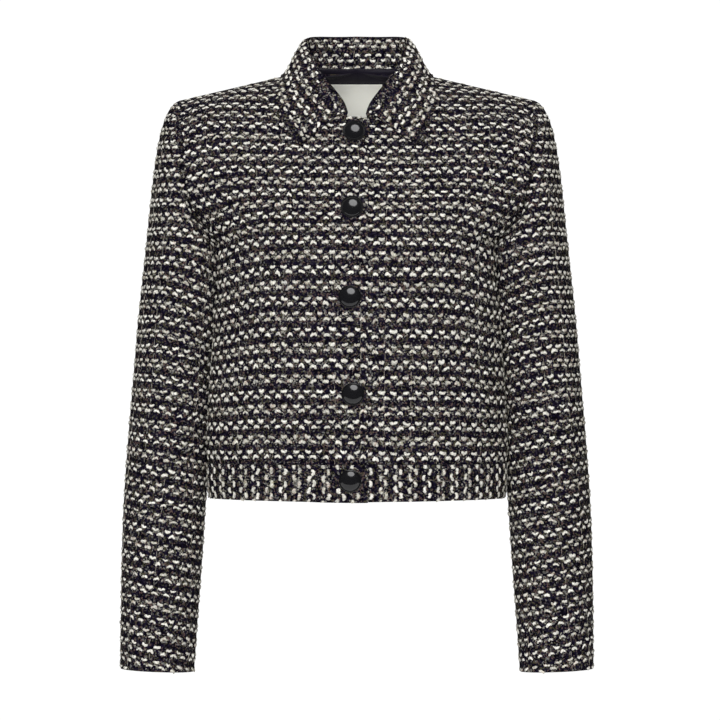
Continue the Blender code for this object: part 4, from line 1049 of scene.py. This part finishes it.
def shell(name, outer, inner, along, up, finishes):
    """Closed thin wall between two grids in millimetres."""
    columns, rows = outer.shape[:2]
    number = np.arange(columns * rows).reshape(columns, rows)
    under = number + columns * rows

    def patch(grid, turned):
        a, b, c, d = grid[:-1, :-1], grid[1:, :-1], grid[1:, 1:], grid[:-1, 1:]
        order = (a, d, c, b) if turned else (a, b, c, d)
        return np.stack(order, axis=-1).reshape(-1, 4)

    def rim(a, b, turned):
        order = (a[:-1], b[:-1], b[1:], a[1:]) if turned else (a[:-1], a[1:], b[1:], b[:-1])
        return np.stack(order, axis=-1)

    sides = [rim(number[0], under[0], False), rim(number[-1], under[-1], True),
             rim(number[:, 0], under[:, 0], True), rim(number[:, -1], under[:, -1], False)]
    lining_faces = patch(under, True)
    quads = np.concatenate([patch(number, False), *sides, lining_faces])
    corners = np.concatenate([outer.reshape(-1, 3), inner.reshape(-1, 3)])
    whole = corners[quads]
    if sum(np.sum(whole[:, 0] * np.cross(whole[:, k], whole[:, k + 1])) for k in (1, 2)) < 0:
        quads = quads[:, ::-1]      # its volume came out negative: it was inside out
    piece = new_piece(name, corners, quads.tolist(), *finishes)
    slots = np.zeros(len(quads), np.int32)
    slots[-len(lining_faces):] = len(finishes) - 1
    piece.data.polygons.foreach_set("material_index", slots)
    cloth = np.tile(np.stack([along, up, 0 * up], axis=-1).reshape(-1, 3), (2, 1)) * MM
    store(piece.data, "cloth", "FLOAT_VECTOR", "vector", cloth)
    piece.data.set_sharp_from_angle(angle=math.radians(50))
    return piece


def rolled(outer, normals):
    """Rolls the outer face in along its edges."""
    depth = np.zeros(outer.shape[:2])
    for grid, d in ((outer, depth), (outer.swapaxes(0, 1), depth.T)):
        for line, into in ((grid, d), (grid[::-1], d[::-1])):
            off = np.cumsum(np.linalg.norm(np.diff(line, axis=0), axis=-1), axis=0)
            into += np.exp(-(np.concatenate([0 * off[:1], off]) / ROLL_REACH) ** 2)
    return outer - normals * (SEAM_ROLL * np.minimum(depth, 1))[..., None]


def dress(name, nodes, outer, inner, normals, along, up, anchor, finishes, slot, turned=False,
          shape=FLOAT_SHAPE, hidden=None, closer=0, slim=None, **weave):
    """Shell, floats and warp lines of one piece of tweed, riding on the body."""
    grid = outer, normals, along, up + closer
    across, rows = grid[2:]
    if turned:
        across, rows, anchor = up, along, 0
        grid = tuple(np.swapaxes(field, 0, 1)
                     for field in (outer, normals, up + FLOAT_STEP / 2, along))
    cloth = shell(name, rolled(outer, normals), inner, across, rows, finishes)
    if grid[3][0, -1] < grid[3][0, 0]:
        grid = tuple(field[:, ::-1] for field in grid)
    places = lay_rows(*grid, anchor, **weave)
    if hidden:
        places = places[~hidden(places)]
    if slim:
        size = slim(places[:, 2:3])
        shape = shape[0], shape[1] * size, shape[2] * size
    floats = yarn_mesh(name + "_floats", places, FLOATS, shape)
    warps = warp_mesh(name + "_warps", *grid[:3], WARPS)
    for piece in (cloth, floats, warps):
        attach(piece, "root")
    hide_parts(*nodes)


# %% [markdown]
# ## Fronts, back and bands
# The panels are dressed one by one. The band at the hem is cut with its weave turned a quarter,
# so its floats stand upright, and it is sewn a little proud of the panels.

# %% Dress the body
def half_gap(outer, normals, edges):
    """Draws the named edges in by half the gap of a seam."""
    moved = outer.copy()
    for index, inward in edges:
        way = outer[inward] - outer[index]
        way = way - normals[index] * np.sum(way * normals[index], axis=-1, keepdims=True)
        moved[index] = outer[index] + unit(way) * SEAM_GAP / 2
    return moved


FIRST, LAST = (np.s_[0], np.s_[1]), (np.s_[-1], np.s_[-2])
LOW, HIGH = (np.s_[:, 0], np.s_[:, 1]), (np.s_[:, -1], np.s_[:, -2])

BUTTONS = ((-3.0, -59.9), (-5.2, -141.3), (-7.4, -236.1), (-4.2, -338.2), (-7.2, -429.6))
BUTTON_SHADE_RING = 14.0          # no floats are laid this far from a button's middle, so the bare dark ground round it shows as painted shade
SLIM_Z, SLIM = (-182, -158, -80, -40), (1.2, 1.0, 0.98, 0.86)


def body_slim(z):
    """Floats lie flatter and slimmer where the rows stand closer."""
    return np.interp(z, SLIM_Z, SLIM)


# Floats near a button are left out; the bare dark ground there is the button's painted shade.
def round_button_shade(places):
    away = [np.hypot(places[:, 0] - x, places[:, 2] - z) for x, z in BUTTONS]
    return np.min(away, axis=0) < BUTTON_SHADE_RING


for side, word in ((RIGHT, "right"), (LEFT, "left")):
    outer, normals = front_cloth(side)
    along, up = cloth_places(outer, normals, 0)
    along = along + outer[0, 0, 0]
    outer = half_gap(outer, normals, (LAST, LOW, HIGH))
    dress(f"{word}_front", [f"front_{word}"], outer, outer - normals * TWEED, normals,
          along, up + body_sag(outer), 0, (GROUND, SATIN), "tweed", hidden=round_button_shade,
          closer=closer_rows(outer) - ROW_START[side], slim=body_slim)

outer, normals = back_cloth()
along, up = cloth_places(outer, normals, len(outer) // 2)
outer = half_gap(outer, normals, (FIRST, LAST, LOW, HIGH))
dress("back_panel", ["back"], outer, outer - normals * TWEED, normals,
      along, up + body_sag(outer), len(outer) // 2, (GROUND, SATIN), "tweed",
      closer=closer_rows(outer) - ROW_START[LEFT], slim=body_slim)

BAND_STEPS, BAND_SHAPE = 12, (4.1, 2.3, 1.5)


def band_points(surface, u, side):
    level = np.linspace(BAND_LOW, BAND_SEAM, BAND_STEPS + 1)[None, :] + 0 * u
    return surface(u, level, side)


for side, word in ((RIGHT, "right"), (LEFT, "left")):
    points = band_points(front, front_grid(side)[0][:, :1], side)
    normals = outward(points)
    normals[-1] = (side, 0, 0)
    outer = raised_front(points, normals, side, BAND_PROUD)
    along, up = cloth_places(outer, normals, 0)
    outer = half_gap(outer, normals, (LAST, HIGH))
    dress(f"{word}_band", [f"band_{word}"], outer, outer - normals * BAND_TWEED, normals,
          along, up, 0, (GROUND, GROUND), "band_tweed", turned=True, shape=BAND_SHAPE,
          hidden=round_button_shade)

half = band_points(back, back_grid()[0][:, :1], LEFT)
points = np.concatenate([half[::-1], half[1:] * MIRROR])
normals = outward(points)
normals[0], normals[-1] = (LEFT, 0, 0), (RIGHT, 0, 0)
outer = raised_back(points, normals, BAND_PROUD)
along, up = cloth_places(outer, normals, len(outer) // 2)
outer = half_gap(outer, normals, (FIRST, LAST, HIGH))
dress("back_band", ["band_back"], outer, outer - normals * BAND_TWEED, normals,
      along, up, 0, (GROUND, GROUND), "band_tweed", turned=True, shape=BAND_SHAPE)

# %% [markdown]
# ## Sleeves
# Each sleeve is cut in two, a wide top half and a narrow under half, with seams at the front and
# back of the arm. Its rows are followed from the cuff upwards.

# %% Dress the sleeves
for side, word in ((RIGHT, "right"), (LEFT, "left")):
    points, normals, angles = sleeve_cloth(side)
    points, normals = points[:, ::-1], normals[:, ::-1]
    steps = len(points) - 1
    over = np.r_[steps - SEAM_STEP:steps, 0:SEAM_STEP + 1]
    under = np.arange(SEAM_STEP, steps - SEAM_STEP + 1)
    for part, columns in (("top", over), ("under", under)):
        outer, facing = points[columns], normals[columns]
        along, up = cloth_places(outer, facing, len(outer) // 2)
        outer = half_gap(outer, facing, (FIRST, LAST, HIGH))
        dress(f"{word}_sleeve_{part}", [f"sleeve_{part}_{word}"], outer, outer - facing * TWEED,
              facing, along, up + sleeve_sag(outer, angles[columns]), len(outer) // 2,
              (GROUND, SATIN), "tweed", ease=sleeve_ease if part == "top" else None)

# %% [markdown]
# ## Collar
# The collar is one folded cloth: its stand rises from the neckline, rolls over and falls as a
# leaf with two points. The table gives the top of the roll and the leaf's edge for a few stations
# from the centre back to the front end. The leaf is then lifted until it lies clear of the body.

# %% Collar
# seat, fold_x, fold_y, fold_z, edge_x, edge_z
COLLAR_STATIONS = (
    (0.00, 0, 58, 51, 0, -10),
    (0.12, 22, 56, 50.5, 34, -9),
    (0.24, 42.5, 46, 50, 59, -7),
    (0.36, 53, 28, 47.5, 75.5, -3),
    (0.47, 54.5, 4, 41.5, 81.5, 0),
    (0.58, 51, -18, 28.5, 83.5, -14),
    (0.68, 43.5, -37, 13, 83.5, -31),
    (0.78, 33.5, -51, -2, 79, -46),
    (0.88, 22.5, -60, -16, 72.5, -59),
    (0.95, 14.5, -66, -28, 67, -68),
    (1.00, 10.5, -69, -38, 61, -75.5),
)
BACK_STATIONS, COLLAR_END_X, FRONT_SEATS = 4, 10.5, 0.5
NEAR_NECK_X, NEAR_NECK_Z, SETTLE_STEPS = 120, -110, 5
FOLD_TURN, FOLD_LIMIT, STAND_LEAVE, LEAF_LAND = (5.0, 9.0), (0.42, 0.3), 0.4, (0.35, 0.05)
STAND_STEPS, FALL_STEPS, COLLAR_STEPS, LIFT_PASSES = 9, 18, 44, 3


def neckline(count, side):
    """Half the neckline from back centre to the collar's front end: points and normals."""
    points, normals = back_cloth()
    middle = len(points) // 2
    neck = middle - int(side) * np.arange(ACROSS_BACK_NECK + 1)
    back_points, back_normals = points[neck, -1], normals[neck, -1]
    points, normals = front_cloth(side)
    front_points = points[0, ROWS_TO_NECK:][::-1]
    front_normals = normals[0, ROWS_TO_NECK:][::-1]
    keep = front_points[:, 0] * side > COLLAR_END_X
    end, before = front_points[~keep][0], front_points[keep][-1]
    share = (before[0] * side - COLLAR_END_X) / (before[0] - end[0]) / side
    end = before + (end - before) * share
    points = np.concatenate([back_points, front_points[keep][1:], [end]])
    normals = np.concatenate([back_normals, front_normals[keep][1:], front_normals[~keep][:1]])
    length = running_length(points)
    wanted = np.linspace(0, length[-1], count)
    return resampled(points, length, wanted), unit(resampled(normals, length, wanted))


def body_near_neck():
    points, normals = [], []
    for cloth in (front_cloth(RIGHT), front_cloth(LEFT), back_cloth()):
        near = (np.abs(cloth[0][..., 0]) < NEAR_NECK_X) & (cloth[0][..., 2] > NEAR_NECK_Z)
        points.append(cloth[0][near])
        normals.append(cloth[1][near])
    return np.concatenate(points), np.concatenate(normals)


def lifted(points, least, cloth):
    """Moves points out until they stand at least so far off the cloth below them."""
    moved = points.copy()
    for _ in range(LIFT_PASSES):
        for i, line in enumerate(moved):
            gaps = np.linalg.norm(line[:, None] - cloth[0][None], axis=-1)
            nearest = gaps.argmin(axis=1)
            facing = cloth[1][nearest]
            height = np.sum((line - cloth[0][nearest]) * facing, axis=1)
            wanted = np.broadcast_to(least, moved.shape[:2])[i]
            moved[i] = line + facing * np.maximum(wanted - height, 0)[:, None]
    return moved


def collar_half(side):
    """Visible face of half the collar: rows along it, columns from the seat over the fold."""
    stations = np.linspace(0, 1, COLLAR_STEPS + 1)
    seat, seat_normals = neckline(COLLAR_STEPS + 1, side)
    rows = []
    for index, (at, fold_x, fold_y, fold_z, edge_x, edge_z) in enumerate(COLLAR_STATIONS):
        surface = back if index < BACK_STATIONS else front
        edge = surface(*place_on(surface, edge_x, edge_z), LEFT)
        rows.append((at, fold_x, fold_y, fold_z, *edge))
    table = spline(rows, stations)
    mirror = np.array([side, 1, 1])
    fold, edge = table[:, :3] * mirror, table[:, 3:] * mirror
    laps = stations > FRONT_SEATS
    fold = fold + seat_normals * (lap_shift(seat, side) * laps)[:, None]
    base = seat + seat_normals * CLEAR
    away = (edge - fold) * np.array([1, 1, 0])
    away[0] = (0, 1, 0)
    away = unit(away)
    rise = np.linalg.norm(fold - base, axis=1, keepdims=True)
    turn = np.minimum(FOLD_TURN[0], FOLD_LIMIT[0] * rise)
    leave = unit(seat_normals + (fold - base) / rise)
    share = np.linspace(0, 1, STAND_STEPS + 1)[None, :, None]
    stand = bezier(base[:, None], (base + leave * rise * STAND_LEAVE)[:, None],
                   (fold - away * turn)[:, None], fold[:, None], share)
    drop = np.linalg.norm(edge - fold, axis=1, keepdims=True)
    over = fold + away * np.minimum(FOLD_TURN[1], FOLD_LIMIT[1] * drop)
    land = edge + (fold - edge) * LEAF_LAND[0] + np.array([0, 0, 1.0]) * drop * LEAF_LAND[1]
    share = np.linspace(0, 1, FALL_STEPS + 1)[None, 1:, None]
    fall = bezier(fold[:, None], over[:, None], land[:, None], edge[:, None], share)
    return stand, fall


def collar_cloth():
    left_stand, left_fall = collar_half(LEFT)
    right_stand, right_fall = collar_half(RIGHT)
    stand = np.concatenate([left_stand[::-1], right_stand[1:]])
    fall = np.concatenate([left_fall[::-1], right_fall[1:]])
    cloth = body_near_neck()
    settle = smooth_step(0, SETTLE_STEPS, np.arange(1, FALL_STEPS + 1))[None, :]
    fall = lifted(fall, (LEAF_CLEAR + COLLAR_TWEED) * settle, cloth)
    outer = np.concatenate([stand, fall], axis=1)
    normals = unit(np.cross(np.gradient(outer, axis=0), np.gradient(outer, axis=1)))
    normals *= np.sign(normals[len(normals) // 2, STAND_STEPS, 2])
    least = np.concatenate([np.full((1, STAND_STEPS + 1), CLEAR), LEAF_CLEAR * settle], axis=1)
    return outer, lifted(outer - normals * COLLAR_TWEED, least, cloth), normals


outer, inner, normals = collar_cloth()
along_steps = np.linalg.norm(np.diff(outer, axis=0), axis=-1)
along = np.concatenate([np.zeros((1, outer.shape[1])), np.cumsum(along_steps, axis=0)])
along = along - along[len(along) // 2]
across_steps = np.linalg.norm(np.diff(outer, axis=1), axis=-1)
up = np.concatenate([np.zeros((outer.shape[0], 1)), np.cumsum(across_steps, axis=1)], axis=1)
up = up - up[:, STAND_STEPS:STAND_STEPS + 1]
COLLAR_STEP, COLLAR_SHAPE, COLLAR_START = 11.8, (3.75, 1.9, 1.5), -4.0
LOW_ROW_RAISED, LOW_ROW_REACH = 2.8, (29, 36)       # the lowest row on the stand sits higher
FACING_TOP, FACING_HALF = 15.0, 47.0


def behind_facing(places):
    """Floats low on the stand at the back neck, where its rows have heights below nought."""
    low = (places[:, 2] < FACING_TOP - 0.6) & (places[:, 14] < -10)
    return low & (np.abs(places[:, 0]) < FACING_HALF + 6) & (places[:, 1] > 0)


dress("folded_collar", ["collar"], outer, inner, normals, along, up + COLLAR_START, len(outer) // 2,
      (GROUND, GROUND), "tweed", shape=COLLAR_SHAPE, hidden=behind_facing, step=COLLAR_STEP,
      closer=-LOW_ROW_RAISED * smooth_step(*LOW_ROW_REACH, -up))
collar_outer, collar_normals = outer, normals

# %% [markdown]
# ## Lining and label
# Inside the back neck the black satin lining shows, and on it a small cream label, left blank.
# Both are made from the back's own points, moved in, so that they lie exactly on it. A narrow
# strip of the same satin, the neck facing, covers the seam between the collar and the lining.

# %% Lining and label
LINING, LABEL, FACING_LOW, FACING_BULGE, FACING_THICK = 1.0, 0.8, 4.0, 4.6, 0.5
LINING_FIRST_ROW, LINING_PAST_NECK, RIPPLE, RIPPLE_LENGTH = 52, 13, 0.35, (9.0, 17.0)
NEAR_BACK_X, STAND_SAMPLES = 56, 60
LABEL_X, LABEL_HALF_WIDTH, LABEL_TOP_Z, LABEL_LOW_Z = -1.0, 29.5, 2.0, -43.0
LABEL_HEM, HEM_FROM = 0.25, (26.0, 28.0)            # the woven side edges are a little thicker
RIBBON_YARN = 0.0007


def between(grid, i, j):
    """Values of a grid at fractional columns and rows."""
    low_i = np.minimum(i.astype(int), grid.shape[0] - 2)
    low_j = np.minimum(j.astype(int), grid.shape[1] - 2)
    a, b = (i - low_i)[..., None], (j - low_j)[..., None]
    low = grid[low_i, low_j] * (1 - a) + grid[low_i + 1, low_j] * a
    high = grid[low_i, low_j + 1] * (1 - a) + grid[low_i + 1, low_j + 1] * a
    return low * (1 - b) + high * b


def at_place(grid, x, z):
    """Column and row, with fractions, of a place on a grid of points."""
    columns, rows = np.arange(grid.shape[0]), np.arange(grid.shape[1])
    i, j = len(columns) / 2, len(rows) / 2
    order = np.sign(grid[-1, 0, 0] - grid[0, 0, 0])
    for _ in range(PASSES):
        row = between(grid, columns, np.full(len(columns), j))
        i = np.interp(x * order, row[:, 0] * order, columns)
        column = between(grid, np.full(len(rows), i), rows)
        j = np.interp(z, column[:, 2], rows)
    return i, j


points, normals = back_cloth()
middle = len(points) // 2
reach = ACROSS_BACK_NECK + LINING_PAST_NECK
inside, facing = (field[middle - reach:middle + reach + 1, LINING_FIRST_ROW:]
                  for field in (points, normals))
along, up = cloth_places(inside, facing, reach)
depth = TWEED + CLEAR
ripple = RIPPLE * np.sin(along / RIPPLE_LENGTH[0] + 0.6 * np.sin(up / RIPPLE_LENGTH[1]))[..., None]
outer, inner = inside - facing * (depth + LINING + 0.2 + 0.5 * ripple), inside - facing * depth
lining = shell("neck_satin", outer, inner, along, up, (SATIN, SATIN))
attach(lining, "root")
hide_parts("neck_lining")

fold_rows = collar_outer[:, :STAND_STEPS + 1]
seat_x = fold_rows[:, 0, 0]
near_back = np.flatnonzero((np.abs(seat_x) < NEAR_BACK_X) & (fold_rows[:, 0, 1] > 0))
near_back = near_back[np.argsort(seat_x[near_back])]
across = np.linspace(-FACING_HALF, FACING_HALF, 41)
drop = np.linspace(0, 1, 9)[:, None]
outer, inner = [], []
for x in across:
    at = np.full(STAND_SAMPLES, np.interp(x, seat_x[near_back], near_back))
    rises = np.linspace(0, STAND_STEPS, STAND_SAMPLES)
    stand, way = (between(grid, at, rises) for grid in (fold_rows, collar_normals))
    top, top_way = (resampled(field, stand[:, 2], FACING_TOP) for field in (stand, way))
    place = tuple(map(np.array, at_place(points, x, FACING_LOW)))
    low, low_way = between(points, *place), unit(between(normals, *place))
    low = low - low_way * (TWEED + CLEAR + LINING + 0.4)
    line = top + (low - top) * drop + unit(top_way) * FACING_THICK * (1 - drop)
    bulge = np.array([0, -FACING_BULGE, 0]) * np.sin(np.pi * drop ** 0.6)
    outer.append((line + bulge + unit(top_way) * FACING_THICK)[::-1])
    inner.append((line + bulge)[::-1])
outer, inner = np.array(outer), np.array(inner)
along, up = np.broadcast_to(across[:, None], outer.shape[:2]), outer[..., 2]
facing_strip = shell("neck_facing", outer, inner, along, up, (SATIN, SATIN))
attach(facing_strip, "root")


def label_finish(name):
    """Fine ribbon weave, cream."""
    material, tree, shader = new_finish(name, (0.9, 0.89, 0.80), 0.6, Sheen_Weight=0.1)
    cloth = node(tree, "ShaderNodeAttribute", attribute_name="cloth").outputs["Vector"]
    xyz = node(tree, "ShaderNodeSeparateXYZ", {0: cloth})
    ribs, warps = (wave(tree, xyz.outputs[k], RIBBON_YARN) for k in (1, 0))
    weave = maths(tree, "MULTIPLY", ribs, warps)
    cloud = node(tree, "ShaderNodeTexNoise", {"Vector": cloth, "Scale": 300.0, "Detail": 3.0})
    share = maths(tree, "MULTIPLY_ADD", weave, 0.25, cloud.outputs["Fac"])
    colour = mixed(tree, share, (0.99, 0.98, 0.87), (1.0, 1.0, 0.93))
    tree.links.new(colour, shader.inputs["Base Color"])
    bumped(tree, shader, weave, 0.00015)
    return material


across = LABEL_X + np.linspace(-LABEL_HALF_WIDTH, LABEL_HALF_WIDTH, 33)
rises = np.linspace(LABEL_LOW_Z, LABEL_TOP_Z, 25)
places = np.array([[at_place(points, x, z) for z in rises] for x in across])
seat = between(points, places[..., 0], places[..., 1])
facing = unit(between(normals, places[..., 0], places[..., 1]))
depth = TWEED + CLEAR + LINING + CLEAR
along, up = cloth_places(seat, facing, 16)
hem = LABEL_HEM * np.maximum(smooth_step(*HEM_FROM, np.abs(across - LABEL_X))[:, None], 0 * up)
label = shell("blank_label", seat - facing * (depth + LABEL + hem[..., None]),
              seat - facing * depth, along, up, (label_finish("cream_ribbon"),))
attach(label, "root")
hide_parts("neck_label")

# %% [markdown]
# ## Buttons
# Five domed buttons close the front. Each is turned like a knob: a flat back, a thin rim that
# stands up, a fine groove inside it and a polished dome. A profile spun round the cloth's normal
# gives the shape, and a clear glossy black finish gives the round highlights.

# %% Buttons
BUTTON_RADIUS, BUTTON_HEIGHT, BUTTON_RIM, BUTTON_LIFT, BUTTON_SIDES = 12.0, 7.4, 1.3, 0.45, 72
DOME_START, DOME_STEPS = 2.5, 14
# the rim's section: how far in from the radius, and how high
RIM_SECTION = ((0.3, 0.5), (0.0, 1.2), (0.0, 2.2), (0.2, 2.75), (0.6, 3.0), (1.0, 2.75))


def button_finish(name):
    """Polished black plastic under a clear coat, with faint handling marks."""
    material, tree, shader = new_finish(name, (0.006, 0.006, 0.007), 0.14, Coat_Weight=0.4,
                                        Coat_Roughness=0.1)
    place = node(tree, "ShaderNodeTexCoord").outputs["Object"]
    marks = node(tree, "ShaderNodeTexNoise", {"Vector": place, "Scale": 420.0, "Detail": 4.0})
    rough = node(tree, "ShaderNodeMapRange",
                 {"Value": marks.outputs["Fac"], "To Min": 0.12, "To Max": 0.2})
    tree.links.new(rough.outputs[0], shader.inputs["Roughness"])
    return material


def on_right_front(x, z):
    """Outer point and normal of the right front or its band at a place near the centre."""
    u, level = place_on(front, abs(x), z, BAND_LOW)
    about = np.array([-0.01, 0, 0.01])
    points = front(u + about[:, None], level + about[None, :], RIGHT)
    normals = outward(points)
    proud = BAND_PROUD if level < BAND_SEAM else 0.0
    return raised_front(points, normals, RIGHT, proud)[1, 1], normals[1, 1]


def button_profile():
    """Distance from the middle and height: flat back, rim, groove, and a dome near a ball's cap."""
    turns = np.linspace(0, math.pi / 2, DOME_STEPS)
    inner = BUTTON_RADIUS - BUTTON_RIM
    rise = BUTTON_HEIGHT - DOME_START
    ball = (inner**2 + rise**2) / (2 * rise)
    cap = np.sqrt(ball**2 - (inner * np.cos(turns))**2) - (ball - rise)
    dome = DOME_START + (0.25 * rise * np.sin(turns) + 0.75 * cap)
    rim = [(BUTTON_RADIUS - inwards, height) for inwards, height in RIM_SECTION]
    return [(BUTTON_RADIUS * 0.8, 0.0), *rim, *zip(inner * np.cos(turns[:-1]), dome[:-1])]


BLACK = button_finish("polished_black")
for number, (x, z) in enumerate(BUTTONS, start=1):
    point, facing = on_right_front(x, z)
    side_x = unit(np.cross(np.array([0, 0, 1.0]), facing))
    side_y = np.cross(facing, side_x)
    profile = np.array(button_profile())
    turns = np.linspace(0, 2 * math.pi, BUTTON_SIDES, endpoint=False)
    flat = side_x * np.cos(turns)[:, None] + side_y * np.sin(turns)[:, None]
    rings = (point + facing * BUTTON_LIFT + flat[None] * profile[:, :1, None]
             + facing * profile[:, 1:, None])
    summit = point + facing * (BUTTON_LIFT + BUTTON_HEIGHT)
    corners = np.concatenate([rings.reshape(-1, 3), [summit]])
    n, after = np.arange(BUTTON_SIDES), (np.arange(BUTTON_SIDES) + 1) % BUTTON_SIDES
    faces = [n[::-1].tolist()]
    for k in range(len(profile) - 1):
        low, high = k * BUTTON_SIDES, (k + 1) * BUTTON_SIDES
        faces += np.stack([low + n, low + after, high + after, high + n], axis=1).tolist()
    top = (len(profile) - 1) * BUTTON_SIDES
    faces += [(int(top + a), int(top + b), len(corners) - 1) for a, b in zip(n, after)]
    knob = new_piece(f"domed_button_{number}", corners, faces, BLACK)
    knob.data.set_sharp_from_angle(angle=math.radians(48))
    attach(knob, "root")
    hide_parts(f"button_{number}")
print("buttons:", len(BUTTONS))

# %% [markdown]
# ## Light, floor and camera
# The jacket is lit as in a small studio: one wide soft light in front, a small one above, one
# behind, and pale light from all round. A round box is seen only in shiny things and gives the
# buttons their highlight. The floor is a plain pale sheet well below the cuffs.

# %% Studio
IMAGE_SIZE = 720
CAMERA_FAR, MM_PER_PIXEL = 5.0, 1.08
CENTRE_SHIFT, CAMERA_Z = 0.00324, -0.3024
SENSOR, AIM = 36.0, (0, 0, -0.3)

view = bpy.context.scene.view_settings
view.view_transform = "Standard"

FLOOR_HALF, FLOOR_FRONT, FLOOR_BACK, FLOOR_Z = 1300, -620, 1300, -800
floor_corners = np.array([(x * FLOOR_HALF, y, FLOOR_Z) for x, y in (
    (-1, FLOOR_FRONT), (1, FLOOR_FRONT), (1, FLOOR_BACK), (-1, FLOOR_BACK))])
floor = new_piece("floor", floor_corners, [(0, 1, 2, 3)],
                  new_finish("pale_floor", (0.86, 0.86, 0.86), 0.9)[0])

world = bpy.data.worlds.new("pale_room")
bpy.context.scene.world = world
world.use_nodes = True
tree = world.node_tree
background = tree.nodes["Background"]
background.inputs["Color"].default_value = (1, 1, 1, 1)
path = tree.nodes.new("ShaderNodeLightPath")
seen = maths(tree, "MULTIPLY_ADD", path.outputs["Is Camera Ray"], 0.83, 0.22)
mirrored = maths(tree, "MULTIPLY", path.outputs["Is Glossy Ray"], 0.18)
strength = maths(tree, "SUBTRACT", seen, mirrored)
tree.links.new(strength, background.inputs["Strength"])


def lamp(name, shape, size, power, place, glossy):
    """A soft lamp turned towards the jacket; only a glossy one is seen in shiny things."""
    light = bpy.data.lights.new(name, "AREA")
    light.shape, light.size, light.energy = shape, size, power
    made = bpy.data.objects.new(name, light)
    made.location = place
    way = np.array(AIM) - np.array(place)
    made.rotation_euler = Vector(way).to_track_quat("-Z", "Y").to_euler()
    made.visible_glossy = glossy
    bpy.context.scene.collection.objects.link(made)
    return made


lamp("wide_front", "SQUARE", 2.2, 200, (-0.4, -4.0, 0.6), False)
lamp("top_box", "DISK", 1.15, 15, (0.16, -0.95, 1.75), False)
round_box = lamp("round_box", "ELLIPSE", 1.62, 30, (0.18, -0.97, 1.10), True)
round_box.visible_diffuse = False
round_box.data.size_y = 1.75
lamp("back_wall", "SQUARE", 2.6, 60, (0.4, 3.6, 1.2), False)

camera_data = bpy.data.cameras.new("camera")
camera_data.sensor_width = SENSOR
camera_data.lens = SENSOR * CAMERA_FAR * 1000 / (IMAGE_SIZE * MM_PER_PIXEL)
camera = bpy.data.objects.new("camera", camera_data)
camera.location = (CENTRE_SHIFT, -CAMERA_FAR, CAMERA_Z)
camera.rotation_euler = (math.pi / 2, 0, 0)
camera_data.clip_end = 60
bpy.context.scene.collection.objects.link(camera)
bpy.context.scene.camera = camera

# %% Finish
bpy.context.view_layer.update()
shown = [o for o in bpy.data.objects if o.type == "MESH" and o.visible_get()]
triangles = sum(len(p.vertices) - 2 for o in shown for p in o.data.polygons)
print("triangles in the scene:", triangles)
